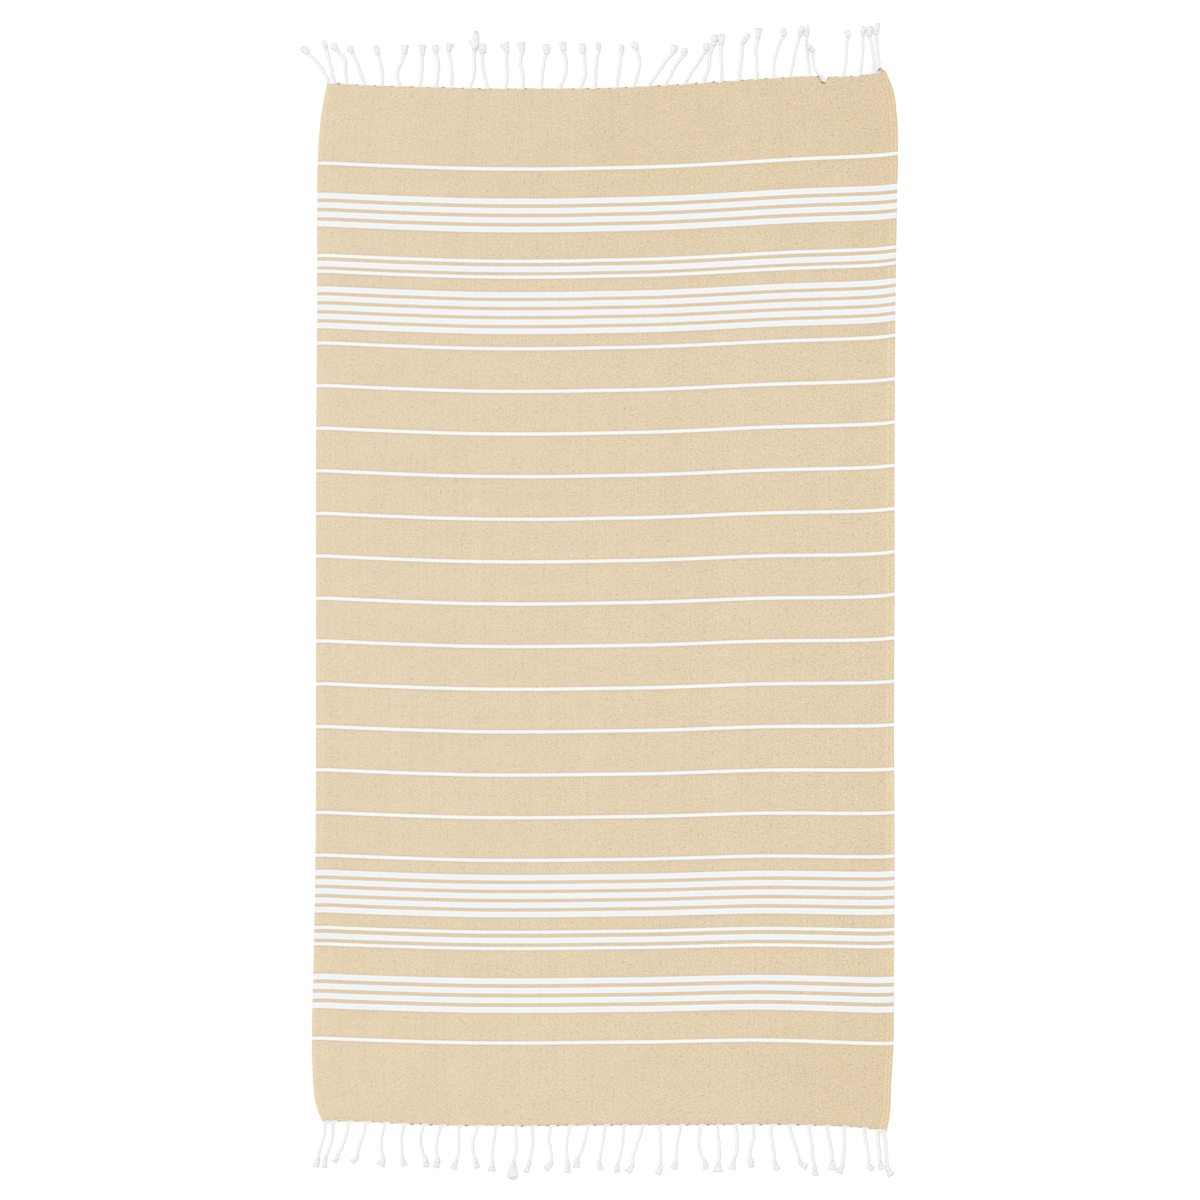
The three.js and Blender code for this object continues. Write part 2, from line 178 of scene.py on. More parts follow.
# One cord a row, from left to right: x of its root, how far it has moved sideways at a third, two
# thirds and all of its reach, its reach, knot width, tuft length, tuft drift and tuft width
farCords = np.array([
    [-469, -9, -22, -39, 52, 11, 9, -7, 11],
    [-459, -5, -10, -16, 62, 9, 11, -2, 6],
    [-437, -3, -4, -20, 59, 10, 9, -5, 10],
    [-407, -7, -14, -23, 57, 9, 8, -4, 10],
    [-376, 0, -3, -9, 56, 10, 12, -3, 9],
    [-346, -5, 3, 9, 57, 9, 11, 0, 13],
    [-311, 3, 4, 4, 56, 9, 14, 0, 12],
    [-283, 3, 4, -1, 61, 10, 11, 0, 10],
    [-256, 0, -2, -5, 64, 9, 10, 3, 12],
    [-224, 6, 7, 7, 59, 6, 36, 4, 12],
    [-194, -6, -9, -9, 63, 14, 13, 1, 11],
    [-162, 2, 1, 1, 65, 9, 11, -4, 15],
    [-133, 0, -4, -1, 63, 9, 14, -2, 13],
    [-101, 2, 4, 9, 61, 11, 15, -1, 11],
    [-68, 9, 10, 5, 66, 10, 12, -1, 12],
    [-32, 7, 6, 3, 62, 11, 14, -3, 11],
    [-7, 0, 2, 5, 68, 9, 10, -2, 8],
    [30, 3, 5, 8, 62, 9, 11, -1, 8],
    [60, 6, 9, 2, 66, 11, 10, -5, 11],
    [86, 14, 27, 42, 58, 10, 12, 2, 11],
    [116, 8, 18, 30, 52, 9, 11, 1, 11],
    [148, 12, 26, 36, 59, 10, 11, -1, 9],
    [180, 8, 11, 17, 66, 10, 16, 3, 10],
    [211, 0, -1, -1, 65, 10, 16, 1, 10],
    [242, 2, 4, 7, 65, 9, 14, 9, 8],
    [273, -2, -3, 1, 71, 8, 14, 1, 12],
    [301, 1, 7, 17, 74, 10, 11, -1, 8],
    [330, 5, 10, 17, 73, 10, 14, 4, 8],
    [363, -3, -5, -5, 71, 9, 16, 3, 5],
    [390, -17, -20, -23, 52, 9, 10, -9, 8],
    [422, 4, 5, 7, 69, 10, 10, -1, 7],
    [450, 4, 5, 5, 72, 9, 12, 3, 8],
    [474, 0, -3, -8, 65, 9, 15, 3, 8],
    [484, -2, -4, -6, 66, 9, 17, 4, 7],
], float)
nearCords = np.array([
    [-475, -2, -9, -13, 64, 9, 14, -3, 11],
    [-462, 0, -6, -13, 64, 9, 16, -1, 9],
    [-435, -3, -10, -19, 59, 9, 12, -5, 9],
    [-405, -4, -11, -16, 59, 9, 11, -7, 10],
    [-372, -5, -6, -3, 62, 10, 12, -4, 16],
    [-339, -4, -4, -2, 59, 9, 13, 4, 12],
    [-305, -5, -3, 4, 58, 9, 15, 1, 12],
    [-275, -6, -8, -5, 58, 10, 15, -3, 12],
    [-244, 0, 0, -5, 61, 9, 14, -4, 11],
    [-212, -6, -8, -3, 58, 9, 15, 3, 10],
    [-180, -3, -6, -6, 65, 9, 13, -1, 14],
    [-146, 1, 1, -3, 61, 8, 30, -2, 19],
    [-117, 1, -1, -5, 62, 9, 18, -5, 9],
    [-85, -3, 1, 0, 63, 10, 12, -8, 12],
    [-52, -5, -5, -3, 66, 9, 15, -1, 11],
    [-21, -4, -10, -18, 59, 11, 14, -1, 12],
    [9, -3, -7, -10, 65, 9, 12, 3, 11],
    [41, -1, -5, -11, 70, 9, 12, 0, 10],
    [74, -7, -15, -19, 69, 9, 12, -6, 12],
    [104, 1, 1, 1, 69, 9, 16, -4, 11],
    [140, -5, -7, -9, 64, 9, 12, -3, 12],
    [174, -3, -1, 9, 64, 10, 12, 0, 10],
    [203, 2, 4, 2, 66, 10, 15, 0, 18],
    [235, 3, 2, -4, 62, 9, 15, -2, 12],
    [266, 0, -5, -5, 59, 12, 14, 2, 11],
    [296, 1, 5, 7, 64, 9, 14, 4, 13],
    [328, 6, 13, 19, 63, 10, 10, 10, 12],
    [361, 5, 7, 11, 72, 9, 15, 1, 10],
    [392, 5, 9, 10, 62, 10, 14, 0, 16],
    [422, 1, 0, -3, 67, 8, 13, -5, 12],
    [456, 5, 8, 11, 65, 10, 7, 7, 9],
    [482, 0, 2, 3, 57, 9, 11, 3, 11],
    [491, 4, 5, 7, 63, 9, 15, 6, 13],
], float)

# A fringe's short narrow tufts are round where it is rounded, and all others are cut. Cut ones end
# so much shorter and are so much narrower than in the table (wider with a minus), knots are so much
# tighter, and cords with their root inside the slim span are slimmer. Loops of weft, dark brown as
# painted shade of the hollows at the edge, are drawn out beside a share of the roots, at a size, and
# at single places: x, how far out, size, height above the others. Spurs are yarns that stand off a
# tuft: which cord, side, share of the tuft, how far. Lifts are for tufts that lie over a neighbour's
# cord: which cord, how high.
fringes = {
    "far": {
        "cords": farCords, "along": laid["length"], "outward": 1, "gatherSide": -1, "seed": 11,
        "rounded": True, "cutShorter": 1.0, "cutNarrower": -0.7, "slimSpan": (280, 600),
        "loopShare": 0.75, "loopSize": 1.0, "knotTighter": 0.0,
        "loops": [
            (485.5, 4.4, 1.2, 3.4), (482.5, 2.6, 1.0, 3.0), (379, 0.6, 0.7, 0.2),
            (382, -0.7, 0.8, 0.2), (385.5, -2.4, 1.2, 0.3), (389, -2.9, 1.4, 0.3), (396, 0.2, 0.8, 0.0),
        ],
        "spurs": [(9, -1, 0.45, 11.0)],
        "lifts": [(29, 5.2)],
    },
    "near": {
        "cords": nearCords, "along": 0.0, "outward": -1, "gatherSide": 1, "seed": 23,
        "rounded": False, "cutShorter": 3.5, "cutNarrower": 1.2, "slimSpan": (-600, 160),
        "loopShare": 0.95, "loopSize": 1.3, "knotTighter": 1.6,
        "loops": [],
        "spurs": [(18, -1, 0.75, 8.0)],
        "lifts": [],
    },
}


# Each input gets a value, or a link from another node's socket
def fill(tree, node, inputs):
    for name, value in inputs.items():
        plug(tree, value, node.inputs[name])


def plug(tree, value, socket):
    if isinstance(value, bpy.types.NodeSocket):
        tree.links.new(value, socket)
    else:
        socket.default_value = value


def addNode(tree, kind, inputs=None, **settings):
    node = tree.nodes.new(kind)
    for name, value in settings.items():
        setattr(node, name, value)
    fill(tree, node, inputs or {})
    return node


# One Math node; the values are numbers or sockets
def calc(tree, operation, *values, clamp=False):
    inputs = dict(enumerate(values))
    return addNode(tree, "ShaderNodeMath", inputs, operation=operation, use_clamp=clamp).outputs[0]


def times(tree, a, b):
    return calc(tree, "MULTIPLY", a, b)


def apart(tree, a, b):
    return calc(tree, "ABSOLUTE", calc(tree, "SUBTRACT", a, b))


def addUp(tree, *values):
    total = values[0]
    for value in values[1:]:
        total = calc(tree, "ADD", total, value)
    return total


# From one range to another, kept inside the second, with a soft start and end or straight
def remap(tree, value, lowFrom, highFrom, lowTo=0.0, highTo=1.0, smooth=True):
    kind = "SMOOTHSTEP" if smooth else "LINEAR"
    inputs = dict(enumerate((value, lowFrom, highFrom, lowTo, highTo)))
    return addNode(tree, "ShaderNodeMapRange", inputs, interpolation_type=kind).outputs[0]


# Colour a, and colour b where the share is 1
def blendColours(tree, share, a, b):
    a, b = (c if isinstance(c, bpy.types.NodeSocket) else (*c, 1) for c in (a, b))
    return addNode(tree, "ShaderNodeMix", {0: share, 6: a, 7: b}, data_type="RGBA").outputs[2]


# Noise about 0: (noise - 0.5) times the amount, over places turned by an angle and then divided by
# a size along each axis
def unevenness(tree, place, size, amount, detail=2.0, offset=(0, 0, 0), turned=0):
    moved = [s * -o for s, o in zip(size, offset)]
    turn = (0, 0, math.radians(turned))
    inputs = {"Vector": place, "Location": moved, "Rotation": turn, "Scale": size}
    mapped = addNode(tree, "ShaderNodeMapping", inputs, vector_type="TEXTURE").outputs[0]
    inputs = {"Vector": mapped, "Scale": 1, "Detail": detail, "Roughness": 0.6}
    noise = addNode(tree, "ShaderNodeTexNoise", inputs).outputs[0]
    return times(tree, calc(tree, "SUBTRACT", noise, 0.5), amount)


def newGroup(name, inputs, outputs):
    tree = bpy.data.node_groups.new(name, "ShaderNodeTree")
    for kind, label, *default in inputs:
        socket = tree.interface.new_socket(label, in_out="INPUT", socket_type="NodeSocket" + kind)
        if default:
            socket.default_value = default[0]
    for kind, label in outputs:
        tree.interface.new_socket(label, in_out="OUTPUT", socket_type="NodeSocket" + kind)
    return tree, tree.nodes.new("NodeGroupInput").outputs, tree.nodes.new("NodeGroupOutput").inputs


def placeGroup(tree, group, **values):
    return addNode(tree, "ShaderNodeGroup", values, node_tree=group).outputs


def newMaterial(name):
    material = bpy.data.materials.new(name)
    material.use_nodes = True
    tree = material.node_tree
    surface = tree.nodes["Principled BSDF"]
    fill(tree, surface, {"Specular IOR Level": 0.2, "Sheen Weight": 0.08, "Sheen Roughness": 0.6})
    return material, tree, surface


# Relief in the surface: its height in millimetres times the distance, at a share of full strength
def addRelief(tree, surface, height, strength, distance):
    inputs = {"Height": height, "Strength": strength, "Distance": distance * mm}
    bump = addNode(tree, "ShaderNodeBump", inputs)
    plug(tree, bump.outputs[0], surface.inputs["Normal"])


# Roughness = least + spread times the fluff
def addRoughness(tree, surface, fluff, least, spread):
    plug(tree, addUp(tree, times(tree, fluff, spread), least), surface.inputs["Roughness"])


# Places in millimetres from a UV map whose values are metres
def millimetres(tree, mapName):
    metres = addNode(tree, "ShaderNodeUVMap", uv_map=mapName).outputs[0]
    inputs = {0: metres, "Scale": 1000}
    place = addNode(tree, "ShaderNodeVectorMath", inputs, operation="SCALE").outputs[0]
    parts = addNode(tree, "ShaderNodeSeparateXYZ", {0: place}).outputs
    return place, parts[0], parts[1]


# Spun cotton: uneven yarn, lighter and darker along each thread, and fine fluff in its height
def makeYarnGroup():
    tree, given, made = newGroup(
        "spunYarn",
        [
            ("Vector", "Place"), ("Float", "Mottling", 0.08),
            ("Float", "Length", 6.0), ("Float", "Width", 2.0),
        ],
        [("Float", "Shade"), ("Float", "Fluff")],
    )
    size = addNode(tree, "ShaderNodeCombineXYZ", {0: given["Length"], 1: given["Width"], 2: 1})
    inputs = {0: given["Place"], 1: size.outputs[0]}
    place = addNode(tree, "ShaderNodeVectorMath", inputs, operation="DIVIDE").outputs[0]
    inputs = {"Vector": place, "Scale": 1, "Detail": 3, "Roughness": 0.65}
    noise = addNode(tree, "ShaderNodeTexNoise", inputs).outputs[0]
    uneven = calc(tree, "SUBTRACT", noise, 0.5)
    plug(tree, times(tree, uneven, given["Mottling"]), made["Shade"])
    fine = addNode(tree, "ShaderNodeTexNoise", {"Vector": place, "Scale": 3, "Detail": 2})
    plug(tree, fine.outputs[0], made["Fluff"])
    return tree


# White weft stripes in sets of equal ones: the first one's middle, then one at each pitch. A
# single stripe's pitch has no effect.
stripeSets = [
    {"first": 142.5, "pitch": 20.0, "count": 1, "width": 6.5},
    {"first": 199.6, "pitch": 16.6, "count": 4, "width": 10.7},
    {"first": 305.9, "pitch": 20.0, "count": 1, "width": 6.2},
    {"first": 319.7, "pitch": 20.0, "count": 1, "width": 10.4},
    {"first": 334.2, "pitch": 20.0, "count": 1, "width": 6.2},
    {"first": 364.8, "pitch": 15.9, "count": 5, "width": 10.5},
    {"first": 458.5, "pitch": 73.75, "count": 13, "width": 6.4},
    {"first": 1373.7, "pitch": 15.7, "count": 5, "width": 10.5},
    {"first": 1467.4, "pitch": 20.0, "count": 1, "width": 6.4},
    {"first": 1480.7, "pitch": 20.0, "count": 1, "width": 10.6},
    {"first": 1494.8, "pitch": 20.0, "count": 1, "width": 6.4},
    {"first": 1549.7, "pitch": 16.2, "count": 4, "width": 10.6},
    {"first": 1654.4, "pitch": 20.0, "count": 1, "width": 6.5},
]


# Distance past the edge of a set's nearest stripe = distance to its middle less half its width
def makeStripeGroup():
    tree, given, made = newGroup(
        "stripeSet",
        [
            ("Float", "Along"), ("Float", "First"), ("Float", "Pitch", 20.0),
            ("Float", "Last"), ("Float", "Width"),
        ],
        [("Float", "Past Edge")],
    )
    steps = calc(tree, "DIVIDE", calc(tree, "SUBTRACT", given["Along"], given["First"]), given["Pitch"])
    nearest = calc(tree, "MINIMUM", calc(tree, "ROUND", steps), given["Last"])
    nearest = calc(tree, "MAXIMUM", nearest, 0.0)
    off = times(tree, apart(tree, steps, nearest), given["Pitch"])
    half = times(tree, given["Width"], 0.5)
    plug(tree, calc(tree, "SUBTRACT", off, half), made["Past Edge"])
    return tree


weave = {
    "sand": (0.834, 0.688, 0.466),
    "richSand": (0.795, 0.625, 0.380),
    "warmSand": (0.851, 0.682, 0.434),
    "paleWarp": (0.91, 0.885, 0.865),
    "darkWeft": (0.63, 0.415, 0.11),
    "paleShare": 1.6,
    "darkShare": 1.85,
    "warpShows": 0.30,  # how pale the warps are where they lie on top
    "gapShade": 0.13,  # how much darker it is between the threads, as painted shade
    "warpPitch": 1.5,
    "weftPitch": 1.0,
    "threadJitter": 2.2,
    "jitterSizes": ((5, 9, 1), (9, 5, 1)),  # of the warps and of the wefts
    "mottling": 0.42,
    "mottleSize": {"Length": 3.1, "Width": 2.5},
    "blotchSize": (3.2, 2.8, 1),
    "contrast": (0.88, 1.22),  # of the yarn's fibres, at the left and the right
    "contrastFrom": 0.1,  # share of the width up to which it stays as at the left
    "streaks": [  # of warps and wefts: size, amount, detail, offset
        ((3.2, 420, 1), 0.10, 2, (0, 9, 2)),
        ((38, 700, 1), 0.05, 1, (4, 1, 8)),
        ((900, 5, 1), 0.04, 2, (2, 6, 1)),
    ],
    "clouds": [  # soft patches of the sand: size, slant, change of tone, change of richness
        {"size": (110, 70), "turned": 20, "tone": 0.03, "rich": 0.55},
        {"size": (38, 20), "turned": 17, "tone": 0.040, "rich": 0.60},
        {"size": (13, 9), "turned": 0, "tone": 0.055, "rich": 0.80},
        {"size": (6.5, 5.5), "turned": 0, "tone": 0.035, "rich": 0.60},
    ],
    "foldTone": 0.006,
    "foldFade": (1.0, 5.0),
    "relief": {"gaps": -0.8, "ribs": 0.6},
}
# Dark slubs along the weft, one in some of the cells
slubs = {
    "cell": 7.0,
    "stretch": (0.55, 1, 1),
    "spot": (0.05, 0.19, 1.0, 0.0),
    "chosen": (0.50, 1.0, 0.0, 0.48),
    "shade": (0.40, 0.29, 0.17),
}
# Where the sand's tone changes: from and to, as shares of the width or the length, and its share at
# either end of that stretch
toneRamps = {
    "rightHalf": (0.45, 0.60, 0.14, 0.32),
    "offPaleStrip": (0.02, 0.06, -0.16, 0.0),
    "rightSide": (0.85, 0.97, 0.0, 0.25),
    "farEnd": (0.72, 0.98, 0.1, 0.65),
    "farEndAcross": (0.1, 0.5, 0.2, 1.0),
    "nearCorner": (0.02, 0.16, 0.7, 0.0),
    "nearCornerAcross": (0.6, 1.0, 0.0, 1.0),
    "warmNearEnd": (0.05, 0.34, 0.60, 0.0),
    "nearEdgeAcross": (0.3, 0.5, 0.2, 0.75),
}
paleStripAt = 0.725  # share of the width where a narrow strip is less rich

selfEdges = {
    "leftBand": (8.0, 10.5, 1.0, 0.0),
    "leftChange": (5.0, 7.5),
    "leftOuter": (0.865, 0.702, 0.458),
    "leftInner": (0.865, 0.684, 0.415),
    "rightBand": (12.2, 13.8, 1.0, 0.0),
    # the right self-edge's own tone, darker between its ridges and lighter on them as painted shade and
    # light
    "rightTones": ((0.824, 0.646, 0.376), (0.893, 0.719, 0.450)),
    "rightEndTones": ((0.765, 0.583, 0.322), (0.895, 0.705, 0.418)),
    "ridgePitch": 6.2,
    "ridgeFirst": 0.8,
    "middle": (150, 350, 1450, 1650),  # the middle of the length, with the stretches beside it
    "leftLine": {"at": 10.2, "from": 0.3, "to": 1.6, "share": 0.34, "tint": weave["paleWarp"]},
    "rightLine": {"at": 12.2, "from": 0.4, "to": 1.6, "share": 0.30, "tint": weave["paleWarp"]},
    "endLine": {"at": 14.2, "from": 0.4, "to": 1.6, "share": 0.85, "tint": (0.732, 0.568, 0.325)},
}
stripeLook = {
    "white": (0.934, 0.938, 0.957),
    "edge": (0.962, 0.980, 1.0),
    "edgeWide": (-3.6, -1.6),
    "narrowWhite": (0.964, 0.980, 1.0),
    "narrowBelow": 8.0,  # stripes below this width are of the brighter white
    "blur": 0.45,
    "wobble": 0.9,
    "wobbleSize": (14, 400, 1),
    # painted shadow in a thin line along the raised stripes' edges
    "edgeShadow": (0.62, 0.51, 0.50),
    "edgeShadowFade": (0.15, 1.0, 0.36, 0.0),
    "beside": (0.791, 0.616, 0.353),
    "besideFade": (0.5, 4.0, 0.75, 0.0),
    "ribPitch": 2.1,
    # painted light and shade of the stripes' ribs
    "ribTone": 0.006,
    "toneShare": 0.22,
}
lastWefts = {
    "colour": (0.825, 0.618, 0.33),
    "fade": (0.8, 2.4, 0.6, 0.0),
    "nearColour": (0.738, 0.600, 0.452),
    "nearFade": (1.5, 9.0, 1.0, 0.0),
}


# The sand's tone over the cloth: richer to the right and at the far end, warmer at the near end,
# with soft patches all over
def sandTone(tree, place, across, along):
    width, length = laid["flatWidth"], laid["length"]

    def ramp(name, way, size):
        low, high, *shares = toneRamps[name]
        return remap(tree, way, low * size, high * size, *shares)

    farEnd = times(tree, ramp("farEnd", along, length), ramp("farEndAcross", across, width))
    corner = times(tree, ramp("nearCorner", along, length), ramp("nearCornerAcross", across, width))
    clouds = [
        unevenness(tree, place, (*cloud["size"], 1), cloud["rich"], detail=1, turned=cloud["turned"])
        for cloud in weave["clouds"]
    ]
    rich = addUp(
        tree, ramp("rightHalf", across, width),
        ramp("offPaleStrip", apart(tree, across, paleStripAt * width), width),
        ramp("rightSide", across, width), farEnd, corner, *clouds,
    )
    sand = blendColours(tree, ramp("warmNearEnd", along, length), weave["sand"], weave["warmSand"])
    sand = blendColours(tree, calc(tree, "MAXIMUM", rich, 0.0), sand, weave["richSand"])
    nearEdge = times(
        tree, remap(tree, along, *lastWefts["nearFade"]), ramp("nearEdgeAcross", across, width),
    )
    return blendColours(tree, nearEdge, sand, lastWefts["nearColour"])


# The self-edges: paler at the left, ridged at the right, with a thin line inside each. The right one has
# its own tone, lighter on its ridges and darker between them as painted light and shade.
def paintSelfEdges(tree, sand, across, along):
    edges = selfEdges
    fromRight = calc(tree, "SUBTRACT", laid["flatWidth"], across)
    middle = edges["middle"]
    midLength = times(
        tree, remap(tree, along, *middle[:2]), remap(tree, along, *middle[2:], 1.0, 0.0),
    )

    def thinLine(sand, way, line, where):
        fade = remap(tree, apart(tree, way, line["at"]), line["from"], line["to"], line["share"], 0.0)
        return blendColours(tree, times(tree, fade, where), sand, line["tint"])

    leftChange = remap(tree, across, *edges["leftChange"])
    leftTone = blendColours(tree, leftChange, edges["leftOuter"], edges["leftInner"])
    sand = blendColours(tree, remap(tree, across, *edges["leftBand"]), sand, leftTone)
    sand = thinLine(sand, across, edges["leftLine"], midLength)
    # painted light on the right self-edge's ridges, painted shade between them
    ridgeTurn = calc(tree, "SUBTRACT", fromRight, edges["ridgeFirst"])
    ridgeWave = calc(tree, "COSINE", times(tree, ridgeTurn, 2 * math.pi / edges["ridgePitch"]))
    ridgeShare = remap(tree, ridgeWave, -1.0, 1.0, 1.0, 0.0, smooth=False)
    midTone = blendColours(tree, ridgeShare, *edges["rightTones"])
    endTone = blendColours(tree, ridgeShare, *edges["rightEndTones"])
    rightTone = blendColours(tree, midLength, endTone, midTone)
    sand = blendColours(tree, remap(tree, fromRight, *edges["rightBand"]), sand, rightTone)
    sand = thinLine(sand, fromRight, edges["rightLine"], midLength)
    nearEnds = calc(tree, "SUBTRACT", 1.0, midLength)
    return thinLine(sand, fromRight, edges["endLine"], nearEnds)


# Distance past the edge of the nearest narrow and the nearest wide stripe
def nearestStripes(tree, stripeGroup, weft):
    nearest = {}
    for stripes in stripeSets:
        found = placeGroup(
            tree, stripeGroup, Along=weft, First=stripes["first"], Pitch=stripes["pitch"],
            Last=stripes["count"] - 1.0, Width=stripes["width"],
        )["Past Edge"]
        kind = "narrow" if stripes["width"] < stripeLook["narrowBelow"] else "wide"
        nearest[kind] = calc(tree, "MINIMUM", nearest[kind], found) if kind in nearest else found
    return nearest["narrow"], nearest["wide"]


# Threads over and under each other, with uneven spacing: 1 where a warp lies on top, 1 in the gaps
# between threads, and the warps' unevenness
def crossThreads(tree, place, across, along):
    jitters = [
        unevenness(tree, place, size, weave["threadJitter"], offset=offset)
        for size, offset in zip(weave["jitterSizes"], ((1, 2, 3), (6, 4, 2)))
    ]
    ways = (across, weave["warpPitch"]), (along, weave["weftPitch"])
    warps, wefts = (
        calc(tree, "SINE", addUp(tree, times(tree, way, math.pi / pitch), jitter))
        for (way, pitch), jitter in zip(ways, jitters)
    )
    crossing = times(tree, warps, wefts)
    warpOnTop = remap(tree, crossing, 0.0, 0.5)
    gaps = remap(tree, calc(tree, "ABSOLUTE", crossing), 0.0, 0.4, 1.0, 0.0)
    return warpOnTop, gaps, jitters[0]


# How much lighter or darker: the yarn, thread by thread and over wider bands, less painted shade in
# the gaps between threads, and a little paler along the folds
def weaveTone(tree, place, across, yarn, gaps):
    parts = [
        unevenness(tree, place, size, amount, detail=detail, offset=offset)
        for size, amount, detail, offset in weave["streaks"]
    ]
    parts += [
        unevenness(tree, place, (*cloud["size"], 1), cloud["tone"], detail=1, offset=(5, 5, 5))
        for cloud in weave["clouds"]
    ]
    tone = addUp(tree, yarn["Shade"], *parts)
    tone = calc(tree, "SUBTRACT", tone, times(tree, gaps, weave["gapShade"]))
    for fold in laid["foldLines"]:
        off = apart(tree, across, fold["across"] * laid["flatWidth"])
        tone = addUp(tree, tone, remap(tree, off, *weave["foldFade"], weave["foldTone"], 0.0))
    return tone


# Pale and dark fibres in the yarn, pale warps where they lie on top, and slubs in some of the cells
def addFibres(tree, sand, place, across, warpOnTop, warpJitter):
    width = laid["flatWidth"]
    contrastFrom = weave["contrastFrom"] * width
    contrast = remap(tree, across, contrastFrom, width, *weave["contrast"], smooth=False)
    blotches = unevenness(tree, place, weave["blotchSize"], 1.0, detail=1, offset=(7, 3, 5))
    blotches = times(tree, blotches, contrast)
    pale = calc(tree, "MULTIPLY", blotches, weave["paleShare"], clamp=True)
    dark = calc(tree, "MULTIPLY", blotches, -weave["darkShare"], clamp=True)
    sand = blendColours(tree, pale, sand, weave["paleWarp"])
    sand = blendColours(tree, dark, sand, weave["darkWeft"])
    sand = blendColours(tree, times(tree, warpOnTop, weave["warpShows"]), sand, weave["paleWarp"])
    inputs = {0: place, 1: slubs["stretch"], 2: warpJitter}
    bent = addNode(tree, "ShaderNodeVectorMath", inputs, operation="MULTIPLY_ADD").outputs[0]
    inputs = {"Vector": bent, "Scale": 1 / slubs["cell"]}
    cells = addNode(tree, "ShaderNodeTexVoronoi", inputs, voronoi_dimensions="2D").outputs
    cellDraw = addNode(tree, "ShaderNodeSeparateXYZ", {0: cells["Color"]}).outputs[0]
    spot = remap(tree, cells["Distance"], *slubs["spot"])
    chosen = times(tree, remap(tree, cellDraw, *slubs["chosen"]), contrast)
    return blendColours(tree, times(tree, spot, chosen), sand, slubs["shade"])


# White stripes, bluish at their edges, with a thin darker line along each edge that is painted shadow
# of the raised stripe. Their tone = a share of the cloth's own tone plus fine ribs, lighter on their
# crests and darker between them as painted light and shade.
def paintStripes(tree, stripeGroup, sand, tone, place, along):
    look = stripeLook
    wobble = unevenness(tree, place, look["wobbleSize"], look["wobble"], offset=(3, 3, 3))
    narrow, wide = nearestStripes(tree, stripeGroup, addUp(tree, along, wobble))
    pastEdge = calc(tree, "MINIMUM", narrow, wide)
    stripe = remap(tree, pastEdge, -look["blur"], look["blur"], 1.0, 0.0)
    sand = blendColours(tree, remap(tree, pastEdge, *look["besideFade"]), sand, look["beside"])
    white = blendColours(tree, remap(tree, pastEdge, *look["edgeWide"]), look["white"], look["edge"])
    white = blendColours(tree, remap(tree, narrow, 0.0, 1.0, 1.0, 0.0), white, look["narrowWhite"])
    colour = blendColours(tree, stripe, sand, white)
    # painted shadow along the raised stripe's edges
    edgeShadow = remap(tree, calc(tree, "ABSOLUTE", pastEdge), *look["edgeShadowFade"])
    colour = blendColours(tree, edgeShadow, colour, look["edgeShadow"])
    ribs = calc(tree, "SINE", times(tree, pastEdge, 2 * math.pi / look["ribPitch"]))
    # the ribs' painted light and shade
    stripeTone = addUp(tree, times(tree, tone, look["toneShare"]), times(tree, ribs, look["ribTone"]))
    toneMix = addNode(tree, "ShaderNodeMix", {0: stripe, 2: tone, 3: stripeTone}, data_type="FLOAT")
    inputs = {0: colour, "Scale": addUp(tree, toneMix.outputs[0], 1.0)}
    shaded = addNode(tree, "ShaderNodeVectorMath", inputs, operation="SCALE").outputs[0]
    return shaded, stripe, ribs


# The cloth's colour is built up step by step. Its relief = the yarn's fluff, less the gaps between
# threads, plus ribs in the stripes.
def makeWeave(yarnGroup, stripeGroup):
    material, tree, surface = newMaterial("sandWeave")
    place, across, along = millimetres(tree, "weave")
    yarn = placeGroup(tree, yarnGroup, Place=place, Mottling=weave["mottling"], **weave["mottleSize"])
    warpOnTop, gaps, warpJitter = crossThreads(tree, place, across, along)
    tone = weaveTone(tree, place, across, yarn, gaps)
    sand = paintSelfEdges(tree, sandTone(tree, place, across, along), across, along)
    sand = addFibres(tree, sand, place, across, warpOnTop, warpJitter)
    colour, stripe, ribs = paintStripes(tree, stripeGroup, sand, tone, place, along)

    # the last wefts are a little warmer
    fromEnd = calc(tree, "MINIMUM", along, calc(tree, "SUBTRACT", laid["length"], along))
    atEnd = remap(tree, fromEnd, *lastWefts["fade"])
    colour = blendColours(tree, atEnd, colour, lastWefts["colour"])
    plug(tree, colour, surface.inputs["Base Color"])

    ribRelief = times(tree, ribs, times(tree, stripe, weave["relief"]["ribs"]))
    gapRelief = times(tree, gaps, weave["relief"]["gaps"])
    addRelief(tree, surface, addUp(tree, gapRelief, yarn["Fluff"], ribRelief), 0.35, 0.3)
    addRoughness(tree, surface, yarn["Fluff"], 0.84, 0.12)
    return material


cotton = {
    "white": (0.985, 0.980, 0.985),
    "shade": (0.960, 0.955, 0.968),
    # bluish grey towards which the painted shade blends
    "grooveAndShade": (0.80, 0.78, 0.84),
    "mottling": 0.6,
    "fibrePitch": 0.8,
    "fibreSlant": 0.6,
    "fibreRelief": 0.4,
}


